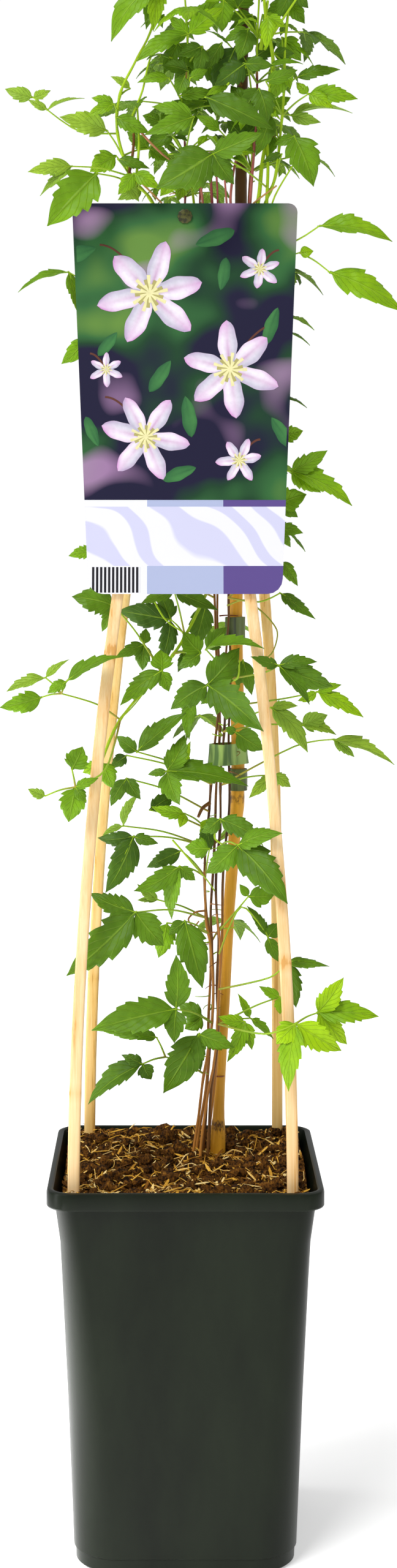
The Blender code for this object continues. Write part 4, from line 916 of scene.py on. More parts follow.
# Small leaves and the dense top, which only the looks need.
MORE_LEAVES: dict[str, tuple[Leaf, ...]] = {
    "vine_3": (
        Leaf(DEEP, (0, 497, 2), ((-4, 485, 6, 0),)),
        Leaf(DEEP, (-33, 438, 2), ((-42, 431, 8, 0),)),
        Leaf(GOLD, (-1, 431, 2), ((3, 446, 6, 0), (5, 436, 5, 2))),
        Leaf(DEEP, (13, 398, -6), ((15, 384, 8, 0), (9, 386, 6, 0))),
        Leaf(GOLD, (9, 397, -2), ((12, 392, 4, 0), (14, 402, 5, 0))),
        Leaf(MID, (14, 385, -10), ((0, 386, 12, 2),)),
        Leaf(MID, (17, 473, -6), ((9, 467, 6, 0),)),
    ),
    "vine_4": (
        Leaf(GREEN, (33, 492, 2), ((38, 472, 9, 0), (30, 476, 8, 0))),
    ),
    "vine_5": (
        Leaf(DEEP, (10, 840, 2), ((-4, 835, 9, 2), (6, 822, 9, 2))),
        Leaf(GREEN, (21, 842, -8), ((11, 826, 9, -2),)),
        Leaf(DEEP, (2, 826, 0), ((-13, 829, 9, 2),)),
        Leaf(MID, (3, 822, -10), ((13, 827, 7, 0),)),
        Leaf(GREEN, (0, 823, -6), ((-4, 812, 9, 0),)),
        Leaf(MID, (-3, 812, -10), ((17, 814, 8, 0),)),
        Leaf(GREEN, (12, 809, -8), ((-19, 803, 10, -2),)),
        Leaf(MID, (-39, 800, -8), ((-20, 791, 10, -2),)),
        Leaf(GREEN, (-38, 776, -8), ((-20, 771, 7, 0),)),
        Leaf(FRESH, (-4, 768, -2), ((-14, 755, 11, 0),)),
        Leaf(FRESH, (1, 766, 2), ((-4, 752, 9, 0),)),
        Leaf(MID, (-10, 772, 4), ((2, 757, 8, 0),)),
        Leaf(PALE, (-24, 759, -6), ((-38, 753, 9, 0),)),
        Leaf(PALE, (-36, 764, -4), ((-26, 752, 9, 0),)),
        Leaf(FRESH, (12, 770, 8), ((4, 757, 8, 0),)),
        Leaf(MID, (-14, 797, 2), ((-2, 803, 9, 2), (-24, 801, 8, 0))),
        Leaf(GREEN, (-6, 790, 6), ((8, 801, 11, 2), (-22, 785, 11, 2))),
        Leaf(MID, (-20, 782, 8), ((-33, 792, 9, 2), (-8, 776, 9, 2))),
        Leaf(FRESH, (3, 852, 2), ((20, 868, 13, 2), (33, 864, 8, 0))),
        Leaf(MID, (-12, 882, 4), ((-22, 850, 14, 0), (-32, 866, 13, 2))),
    ),
    "vine_6": (
        Leaf(MID, (38, 858, 2), ((22, 856, 7, 0), (25, 849, 6, 2), (40, 848, 6, -2))),
        Leaf(MID, (25, 841, -6), ((12, 850, 3, 0),)),
        Leaf(DEEP, (29, 840, -2), ((17, 812, 19, -3),)),
        Leaf(FRESH, (25, 819, -18), ((12, 812, 6, 0),), via=(35, 830, -14)),
        Leaf(MID, (46, 820, -12), ((64, 827, 8, 0),)),
        Leaf(MID, (48, 829, -10), ((67, 831, 5, 0),)),
        Leaf(FRESH, (50, 806, -6), ((60, 811, 7, 0), (57, 801, 6, 0))),
        Leaf(MID, (20, 792, -2), ((6, 801, 7, 0),)),
        Leaf(GOLD, (38, 779, 4), ((27, 788, 9, 0),)),
        Leaf(GOLD, (39, 790, 2), ((29, 776, 10, 0),)),
        Leaf(GREEN, (48, 802, -8), ((40, 778, 11, -2),)),
        Leaf(MID, (50, 790, -6), ((46, 777, 8, 0),)),
        Leaf(GREEN, (55, 779, -2), ((44, 774, 5, 0),)),
        Leaf(DEEP, (40, 834, 0), ((52, 842, 11, 2), (33, 822, 10, 0))),
        Leaf(DEEP, (50, 836, 0), ((62, 836, 8, 0),)),
        Leaf(GREEN, (36, 806, 0), ((26, 818, 12, 2), (24, 802, 12, 0))),
        Leaf(DEEP, (33, 788, 4), ((24, 798, 11, 2), (44, 799, 12, 2))),
        Leaf(MID, (30, 862, 4), ((20, 872, 12, 2), (40, 874, 12, 0))),
        Leaf(GREEN, (60, 872, -2), ((52, 856, 10, 0), (70, 862, 11, 0))),
        Leaf(FRESH, (44, 858, -6), ((54, 851, 8, 0),)),
    ),
}


@dataclass(frozen=True)
class Shoot:
    """A tendril, bare shoot or cut stub: its points in the front view, radius and place on the stem
    colour scale, from fresh green through woody to the dark brown of painted shade.
    """

    points: tuple[Place, ...]
    radius: float
    age: float


SHOOTS: dict[str, tuple[Shoot, ...]] = {
    "vine_3": (
        Shoot(((-14, 486, -14), (-27.5, 468, -18), (-36, 459, -24)), 0.5, 0.1),
        Shoot(((-20, 531, -6), (-15, 521, -10), (-10, 514, -12), (0, 507, -8)), 0.65, 0.06),
        Shoot(((14, 411, 8), (10, 408, 3), (7.5, 403, 0)), 1.25, 0.95),
        Shoot(((-7, 390, -10), (0, 382, -8), (5, 376, -6), (12, 368, 2), (17, 361, 8)), 0.6, 0.08),
        Shoot(((12, 350, 6), (6, 349, 0), (2, 345, -2), (5, 341, -2), (8, 344, 0)), 0.6, 0.9),
    ),
    "vine_4": (
        Shoot(((24, 523, 4), (34, 526, -2), (43, 520, -6), (50.5, 512, -8), (52.5, 506, -8),
               (50, 497, -8), (46, 493, -8)), 0.55, 0.32),
        Shoot(((22, 402, 4), (18, 397, -4), (17, 391, -8), (22, 387, -10)), 0.7, 0.05),
        Shoot(((24, 480, 2), (30, 482, -10), (31, 492, -12)), 0.7, 0.08),
        Shoot(((20.3, 702, 1), (16.5, 735, 0), (15.4, 752, -3), (14, 780, -8)), 1.15, 0.60),
        Shoot(((20.7, 694, 1), (24.5, 735, 0), (23.6, 752, -3), (21.5, 778, -6)), 0.85, 0.50),
    ),
    "vine_5": (
        Shoot(((0.8, 706, 19), (6, 735, 8.6), (5, 752, 6), (2.5, 772, 2)), 1.0, 0.02),
        Shoot(((1, 700, 20), (12.5, 722, 8), (11.3, 735, -1), (10, 752, -3), (6.5, 780, -4)),
              0.95, 0.5),
        Shoot(((-35, 758, -6), (-33, 763, -6), (-30, 776, -4), (-29, 790, -2), (-32, 799, 0)),
              1.1, 0.95),
        Shoot(((-29, 797, -4), (-22, 788, -8), (-14, 780, -6), (-9, 776, 0)), 0.85, 0.46),
        Shoot(((-31, 768, -6), (-25, 763, -8), (-13, 751, -4)), 0.8, 0.44),
        Shoot(((-30, 800, -4), (-24, 815, -6), (-20, 832, -4), (-12, 848, 0)), 0.7, 0.03),
        Shoot(((-28, 760, -4), (-26, 785, -6), (-27, 806, -4)), 0.9, 0.05),
    ),
    "vine_6": (
        Shoot(((32.6, 704, 6), (38, 735, -2), (42, 755, -4), (44, 775, -2), (49, 800, 0),
               (50, 812, 2)), 1.5, 0.02),
        Shoot(((34, 716, 5.5), (45, 735, -2), (51, 755, -6), (64, 777, -8)), 0.7, 0.04),
        Shoot(((31.5, 695, 6.5), (32, 735, 0), (36, 748, -3), (52, 761, -10)), 0.8, 0.42),
        Shoot(((32.3, 702, 6), (30, 735, 0), (26, 750, -4), (27, 765, -2), (29, 776, 2)), 1.0, 0.5),
        Shoot(((32, 700, 6), (36, 735, 0), (37, 752, -3), (39, 778, -7), (41, 800, -4)), 1.15, 0.53),
        Shoot(((33.5, 710, 6), (45, 735, 0), (46.5, 755, -4), (47, 780, -4), (44, 812, -2)), 1.2, 0.02),
        Shoot(((48, 812, -2), (50, 832, -6), (46, 856, -8), (44, 880, -4)), 1.3, 0.0),
        Shoot(((41, 828, 0), (36, 829, -12), (29, 824, -16), (24, 818, -18)), 0.9, 0.02),
        Shoot(((43, 838, 0), (45, 852, -4), (47, 866, -6)), 1.3, 0.02),
        Shoot(((45, 838, 0), (52, 850, -4), (64, 868, -6)), 0.9, 0.02),
    ),
}

# How woody each stem is at some heights, from 0, yellow-green, to 1, brown; values near 1 give dark
# brown, painted shade on the stems that lie behind.
AGES_AND_SHADE = {
    "vine_1": ((200, 0.82), (330, 0.82), (372, 0.92)),
    "vine_2": ((200, 0.86), (348, 0.78)),
    "vine_3": ((200, 0.84), (330, 0.92), (380, 0.98), (560, 0.94), (700, 0.60), (774, 0.54)),
    "vine_4": ((200, 0.96), (330, 0.97), (380, 1.0), (560, 0.96), (740, 0.60), (775, 0.56)),
    "vine_5": ((200, 0.95), (330, 0.96), (380, 0.98), (560, 0.92), (740, 0.60), (822, 0.56),
               (834, 0.04), (902, 0.0)),
    "vine_6": ((200, 0.84), (330, 0.88), (380, 1.0), (560, 0.96), (740, 0.72), (824, 0.60),
               (834, 0.04), (912, 0.0)),
}

# Leaves on the sides that the front view hides: stem, first and last height, first and last
# direction round the stem in degrees from +x, and how many.
HIDDEN = (
    ("vine_5", 300, 520, 70, 250, 4),
    ("vine_5", 545, 735, 60, 265, 5),
    ("vine_3", 560, 690, 170, 290, 2),
    ("vine_4", 560, 700, -80, 40, 2),
    ("vine_6", 560, 735, -20, 110, 3),
    ("vine_5", 755, 860, 60, 260, 4),
    ("vine_6", 755, 860, -40, 150, 3),
    ("vine_5", 880, 902, 40, 320, 2),
    ("vine_6", 880, 912, 0, 220, 2),
)
HIDDEN_SEED = 11

# More of them behind the label, which only the looks need.
BEHIND = (
    ("vine_5", 552, 738, 40, 200, 6), ("vine_6", 548, 738, -60, 100, 6),
    ("vine_3", 556, 720, 90, 260, 5), ("vine_4", 552, 736, -90, 30, 5),
)
BEHIND_CLEAR = 3.6
BEHIND_SIZE = (18.0, 27.0)

# Small leaves that thicken the head on all sides: stem, heights, directions and how many.
HEAD = (
    ("vine_5", 756, 872, -190, -20, 16), ("vine_6", 756, 872, -160, 20, 16),
    ("vine_5", 880, 902, -180, 0, 4), ("vine_6", 880, 912, -180, 0, 4),
    ("vine_5", 756, 866, 20, 200, 8), ("vine_6", 756, 866, -20, 160, 8),
    ("vine_5", 756, 800, -170, 10, 5), ("vine_6", 756, 800, -180, 0, 5),
)
HEAD_CLEAR = 2.6
HEAD_SIZE = (11.0, 19.0)

# Curled remains of stalks: stem, first and last height, and how many.
CURLS = (("vine_1", 255, 345, 4), ("vine_3", 270, 520, 12), ("vine_5", 260, 520, 12),
         ("vine_6", 250, 520, 9), ("vine_5", 752, 820, 7), ("vine_6", 752, 830, 7))
HIDDEN_CLEAR = 5.0
HIDDEN_SIZE = (20.0, 30.0)
BAR_SPACING = 6
SETTLE_STEPS = (0, 4, -4, 8, -8, 12, -12)
SETTLE_CLEAR = 3.6
BAR_CLEAR = 5.5
GOLDEN_SHARE = 0.618  # spreads the leaves' directions evenly
TURN_ON = 13.0
TURNS = 27
BLADE_RATIO = 0.40
STALK_STEPS = 2
ROOTS_ABOVE = 225.0  # stalks leave the stems above this height, but not beside the low band
ROOTS_KEEP = (426.0, 450.0)
LABEL_CLEAR_HALF = 66.4
LABEL_CLEAR_LEVEL = (525.2, 754.8)
LABEL_CLEAR_DEPTH = 4.0
VIEWPOINT = Vector((-7.2, -1297.0, 552.0))  # the drawing's points lie on the plane y = 0


def seen_at(across: float, up: float, depth: float) -> Vector:
    """The point at a depth that the front view shows at a place of the drawing."""
    return VIEWPOINT + (Vector((across, 0, up)) - VIEWPOINT) * (1 + depth / -VIEWPOINT.y)


def facing(base: Vector, tip: Vector, shown: float, real: float) -> Vector:
    """The way a leaflet faces if it shows less than its real width.

    Args:
        base: Where it starts.
        tip: Where it ends.
        shown: Width that the front view shows.
        real: Its own width.

    Returns:
        Its normal, rolled from the viewer with its top side up.
    """
    along = (tip - base).normalized()
    toward = Vector((0, -1, 0))
    toward = (toward - along * toward.dot(along)).normalized()
    aside = along.cross(toward)
    if aside.z < 0:
        aside = -aside
    roll = math.acos(min(1.0, shown / real))
    return (toward * math.cos(roll) + aside * math.sin(roll)).normalized()


def smooth_path(points: Sequence[Sequence[float]], steps: int) -> list[Vector]:
    """Points along a smooth curve through the given ones.

    Args:
        points: The points that it passes.
        steps: How many pieces each stretch gets.

    Returns:
        The curve's points.
    """
    knots = [Vector(p[:3]) for p in points]
    knots = [2 * knots[0] - knots[1], *knots, 2 * knots[-1] - knots[-2]]
    path = []
    for a, b, c, d in zip(knots, knots[1:], knots[2:], knots[3:]):
        for i in range(steps):
            t = i / steps
            path.append(0.5 * (2 * b + (c - a) * t + (2 * a - 5 * b + 4 * c - d) * t * t
                               + (3 * b - a - 3 * c + d) * t ** 3))
    path.append(knots[-2])
    return path


def stalk_path(start: Vector, end: Vector, via: Optional[Vector] = None) -> list[Vector]:
    """A leaf stalk: it rises from the stem, then arches over to the hub.

    Args:
        start: Its place on the stem.
        end: The hub.
        via: A point that it passes.

    Returns:
        Its points.
    """
    if via is None:
        via = start.lerp(end, 0.5) + Vector((0, 0, 0.10 * (end - start).length))
        return [
            (1 - t) ** 2 * start + 2 * t * (1 - t) * via + t * t * end
            for t in (i / STALK_STEPS for i in range(STALK_STEPS + 1))
        ]
    return smooth_path([start, via, end], 2)


def along_lines(lines: Iterable[Sequence[Vector]], spacing: float = 4.0) -> list[Vector]:
    """Points at an even spacing along lists of points.

    Args:
        lines: The lists of points.
        spacing: Least distance between two points.

    Returns:
        The points, without each list's last one.
    """
    found = []
    for line in lines:
        for start, end in zip(line, line[1:]):
            count = max(1, round((end - start).length / spacing))
            found += [start.lerp(end, i / count) for i in range(count)]
    return found


def is_clear(cloud: Iterable[Vector], others: Sequence[Vector], distance: float) -> bool:
    """True if no point of the cloud lies within the distance of the others."""
    limit = distance * distance
    return all((a - b).length_squared > limit for a in cloud for b in others)


def path_at(path: Sequence[Sequence[float]], height: float) -> Vector:
    """Point of a rising path at a height.

    Args:
        path: Its points in millimetres, from the lowest up.
        height: The height in millimetres.

    Returns:
        The point.
    """
    for low, high in zip(path, path[1:]):
        if low[2] <= height <= high[2]:
            share = (height - low[2]) / (high[2] - low[2])
            return Vector(low[:3]).lerp(Vector(high[:3]), share)
    raise ValueError("the path doesn't reach that height")


def cane_points() -> list[Vector]:
    """Points along the cane and where bands hold stems, that leaves keep clear of."""
    found = []
    for low, high in zip(CANE, CANE[1:]):
        count = max(1, round((high[2] - low[2]) / BAR_SPACING))
        found += [Vector(low[:3]).lerp(Vector(high[:3]), i / count) for i in range(count)]
    for levels, vines in ((BAND_LOW, BAND_LOW_HOLDS), (BAND_HIGH, BAND_HIGH_HOLDS)):
        found += [path_at(VINES[vine][0], z) for vine in vines for z in levels]
    return found


@dataclass
class Layout:
    """Where every stem, stalk and leaflet of the plant lies."""

    bars: list[Vector]
    label_back: Callable[[float], float]
    paths: dict[str, list[list[Vector]]] = field(default_factory=dict)
    grown: dict[str, list[GrownLeaf]] = field(default_factory=dict)
    taken: list[Vector] = field(default_factory=list)
    stems: list[Vector] = field(default_factory=list)

    def grow(self) -> None:
        """Lay out the stems, the drawn leaves and those on the hidden sides."""
        self.paths = {
            name: [smooth_path(points, 2) for points in lines] for name, lines in VINES.items()
        }
        self.grown = {name: [] for name in VINES}
        self.stems = along_lines([path for lines in self.paths.values() for path in lines])
        for name, leaves in LEAVES.items():
            self.add_drawn(name, leaves)
        self.add_hidden(HIDDEN, HIDDEN_CLEAR, HIDDEN_SIZE, (GREEN, MID, DEEP, FRESH))
        for name, leaves in MORE_LEAVES.items():
            self.add_drawn(name, leaves)
        self.add_hidden(BEHIND, BEHIND_CLEAR, BEHIND_SIZE, (MID, GREEN, DEEP, FRESH))
        self.add_hidden(HEAD, HEAD_CLEAR, HEAD_SIZE, (MID, FRESH, GREEN, FRESH))

    def add_drawn(self, name: str, leaves: Sequence[Leaf]) -> None:
        """Place the drawn leaves of one stem.

        Args:
            name: The stem's name.
            leaves: Its leaves.
        """
        hubs: list[Vector] = []
        for leaf in leaves:
            shift = self.settle(leaf)
            across, up, depth = leaf.hub
            hubs.append(seen_at(across, up, depth + shift))
            blades = self.drawn_blades(leaf, shift)
            start = self.nearest(name, hubs[-1]) if leaf.start is None else hubs[leaf.start]
            via = seen_at(*leaf.via) if leaf.via else None
            stalk = stalk_path(start, hubs[-1], via)
            self.grown[name].append(GrownLeaf(stalk, blades, leaf.shade))
            self.taken += [p for blade in blades for p in blade.cloud()]

    def drawn_blades(self, leaf: Leaf, shift: float) -> list[Blade]:
        """Leaflets of a drawn leaf.

        Args:
            leaf: The leaf.
            shift: How far it is moved in depth.

        Returns:
            The leaflets.
        """
        across, up, depth = leaf.hub
        base = seen_at(across, up, depth + shift)
        blades = []
        for tip_across, tip_up, shown, behind in leaf.tips:
            tip = seen_at(tip_across, tip_up, depth + shift + behind)
            real = max(shown, BLADE_RATIO * (tip - base).length)
            blades.append(Blade(base, tip, real, facing(base, tip, shown, real)))
        return blades

    def settle(self, leaf: Leaf) -> float:
        """Find how far a drawn leaf moves in depth to lie clear of those before it.

        Args:
            leaf: The leaf.

        Returns:
            The best of a few steps.
        """
        best: tuple[int, float] = (0, 0)
        for shift in SETTLE_STEPS:
            cloud = [p for blade in self.drawn_blades(leaf, shift) for p in blade.cloud()]
            free = (
                is_clear(cloud, self.taken, SETTLE_CLEAR)
                + is_clear(cloud, self.bars, BAR_CLEAR)
                + is_clear(cloud, self.stems, SETTLE_CLEAR)
            )
            if free > best[0]:
                best = (free, shift)
            if free == 3:
                break
        return best[1]

    def rooting(self, paths: Sequence[Sequence[Vector]]) -> list[Vector]:
        """Stem points that leaves may grow from.

        Args:
            paths: The stems' points.

        Returns:
            Those above the potting mix and away from the bands.
        """
        low, high = ROOTS_KEEP
        return [
            p for path in paths for p in path[1:-1] if p.z > ROOTS_ABOVE and not low < p.z < high
        ]

    def nearest(self, name: str, hub: Vector) -> Vector:
        """The stem point that a leaf grows from: near its hub, and rather below.

        Args:
            name: The stem's name.
            hub: The leaf's hub.

        Returns:
            The point.
        """
        reach = hub - Vector((0, 0, 6))
        return min(
            self.rooting(self.paths[name]),
            key=lambda p: (p - reach).length + max(0.0, p.z - reach.z),
        )

    def behind_label(self, cloud: Iterable[Vector]) -> bool:
        """Tell whether all the points keep clear of the label.

        Args:
            cloud: The points.

        Returns:
            True if none of them reaches it.
        """
        low, high = LABEL_CLEAR_LEVEL
        return not any(
            abs(p.x) < LABEL_CLEAR_HALF and low < p.z < high
            and p.y < self.label_back(p.z) + LABEL_CLEAR_DEPTH
            for p in cloud
        )

    def add_hidden(
        self, rows: Sequence[tuple[Any, ...]], clear: float, sizes: tuple[float, float],
        shades: Sequence[Shade],
    ) -> None:
        """Fill sides that the drawing leaves bare, each leaf turned on until it is clear.

        Args:
            rows: Where the leaves grow and how many.
            clear: How far each leaf keeps from others.
            sizes: Least and most length of its middle leaflet.
            shades: Shades that the leaves take in turn.
        """
        rng = random.Random(HIDDEN_SEED)
        self.stems += along_lines(
            [leaf.stalk[1:] for leaves in self.grown.values() for leaf in leaves]
        )
        for name, low, high, first, last, count in rows:
            path = self.rooting(self.paths[name][:1])
            for i in range(count):
                height = low + (high - low) * (i + 0.5) / count
                start = min(path, key=lambda p: abs(p.z - height))
                share = (i * GOLDEN_SHARE) % 1
                for turn in range(TURNS):
                    angle = math.radians(first + (last - first) * share + turn * TURN_ON)
                    hub, blades = self.hidden_leaf(rng, start, angle, sizes)
                    cloud = [p for blade in blades for p in blade.cloud()]
                    stalk = stalk_path(start, hub)
                    free = along_lines([stalk])[2:]
                    near = is_clear(cloud + free, self.bars, clear + 2)
                    near = near and is_clear(cloud + free, self.stems, min(clear, 4))
                    if near and self.behind_label(cloud) and is_clear(cloud, self.taken, clear):
                        shade = shades[i % len(shades)]
                        self.grown[name].append(GrownLeaf(stalk, blades, shade))
                        self.taken += cloud
                        self.stems += free
                        break

    def hidden_leaf(
        self, rng: random.Random, start: Vector, angle: float, sizes: tuple[float, float]
    ) -> tuple[Vector, list[Blade]]:
        """A leaf that grows from a stem point in a direction.

        Args:
            rng: Source of its sizes.
            start: The stem point.
            angle: Its direction round the stem.
            sizes: Least and most length of its middle leaflet.

        Returns:
            Its hub and its leaflets.
        """
        out = Vector((math.cos(angle), math.sin(angle), 0))
        aside = Vector((-out.y, out.x, 0))
        reach = rng.uniform(0.8, 1.0) * sizes[1]
        hub = start + out * reach + Vector((0, 0, rng.uniform(2, 12)))
        size = rng.uniform(*sizes)
        droop = rng.uniform(0.25, 0.80)
        blades = []
        for turn, share in ((0, 1.0), (80, 0.8), (-80, 0.8)):
            way = out * math.cos(math.radians(turn)) + aside * math.sin(math.radians(turn))
            drop = droop + rng.uniform(-0.15, 0.15)
            tip = hub + (way - Vector((0, 0, drop))).normalized() * size * share
            along = (tip - hub).normalized()
            up = Vector((0, 0, 1)) + out * 0.5
            normal = (up - along * up.dot(along)).normalized()
            blades.append(Blade(hub, tip, size * share * rng.uniform(0.42, 0.50), normal))
        return hub, blades


@dataclass
class LeafletForm:
    """The form of a leaflet: its outline, teeth, folds and thickness, in its own shares."""

    rows: int = 26
    columns: int = 8
    stalk_share: float = 0.05
    tooth_depth: float = 0.17
    tooth_zone: tuple[float, float] = (0.26, 0.80)
    fold: float = 0.30
    thick_mm: float = 0.32
    pucker: float = 0.014
    base_round: float = 0.62
    tip_taper: float = 1.12
    widest: float = 0.3563
    toothless: float = 9.0

    def half_width(self, u: np.ndarray) -> np.ndarray:
        """Half width along the leaflet, 1 at its widest: round base, long drawn-out tip."""
        s = np.clip((u - self.stalk_share) / (1 - self.stalk_share), 0, 1)
        full = self.widest ** self.base_round * (1 - self.widest) ** self.tip_taper
        return s ** self.base_round * (1 - s) ** self.tip_taper / full

    def place(self, blank: Blank, blade: Blade, rng: random.Random) -> np.ndarray:
        """Bend the blank into a leaflet.

        Args:
            blank: The flat blank.
            blade: Where the leaflet lies.
            rng: Source of its own folds and teeth.

        Returns:
            Its points in metres.
        """
        u = (blank.points[:, 0] + 1) / 2
        v = blank.points[:, 1]
        side = blank.points[:, 2]
        length = (blade.tip - blade.base).length
        half = blade.width / 2
        row = np.round(u * self.rows).astype(int)
        edge = np.abs(v) > 0.99
        bite, slide = np.zeros(len(u)), np.zeros(len(u))
        for which in (-1, 1):
            cut, moved = self.teeth(length, rng)
            here = v * which > 0.99
            near = (v * which > 0.70) & ~here
            bite += np.where(here, cut[row], 0.0) + np.where(near, 0.4 * cut[row], 0.0)
            slide += np.where(here, moved[row], 0.0)
        u = u + slide / self.rows
        reach = self.half_width(u) * (1 - bite)
        reach = np.maximum(reach, np.where(u > 0.5, 0.02, 0.10))
        out = v * reach * half
        fold = self.fold * rng.uniform(0.3, 1.5)
        curl = rng.uniform(0.0, 0.30)
        droop = rng.uniform(-0.02, 0.10)
        sway = rng.uniform(-0.05, 0.05)
        twist = rng.uniform(-0.5, 0.5)
        wave, start = rng.uniform(0.04, 0.12), rng.uniform(0, math.tau)
        rise = BLADE_ARCH * length * 4 * u * (1 - u)
        rise += np.abs(out) * fold - curl * np.abs(v) ** 3 * reach * half
        rise -= droop * length * u ** 3
        rise += wave * half * np.abs(v) * reach * np.sin(u * 13 * np.sign(v) + start)
        ribs = np.cos(math.tau * VEIN_PAIRS * (u - VEIN_LEAN * np.abs(v)))
        rise -= self.pucker * length * ribs * np.abs(v) * (1 - np.abs(v)) * 4 * np.clip(
            reach, 0, 1
        )
        rise += out * np.sin(twist * u)
        rise += side * self.thick_mm / 2 * np.where(edge, 0.5, 1.0)
        out = out * np.cos(twist * u) + sway * length * u * (1 - u) * 4
        along = np.array((blade.tip - blade.base).normalized())
        normal = np.array(blade.normal)
        across = np.cross(along, normal)
        points = np.array(blade.base) + np.outer(u * length, along)
        return (points + np.outer(out, across) + np.outer(rise, normal)) * MM

    def teeth(self, length: float, rng: random.Random) -> tuple[np.ndarray, np.ndarray]:
        """One side's teeth: a few, coarse, uneven and pointing to the tip.

        Args:
            length: The leaflet's length in millimetres.
            rng: Source of their places and sizes.

        Returns:
            For each row, the share that is cut off and how far its edge point moves along.
        """
        cut, moved = np.zeros(self.rows + 1), np.zeros(self.rows + 1)
        row = round(self.tooth_zone[0] * self.rows) + rng.randrange(4)
        last = round(self.tooth_zone[1] * self.rows)
        while row < last and length > self.toothless:
            depth = self.tooth_depth * rng.uniform(0.45, 1.5)
            gap = rng.choice((3, 4, 4, 5))
            moved[row], moved[row + 1] = 0.45, -0.35
            cut[row] -= 0.25 * depth
            for step in range(1, gap):
                cut[row + step] += depth * (1 - (step - 1) / (gap - 1)) ** 1.3
            row += gap
        return cut, moved


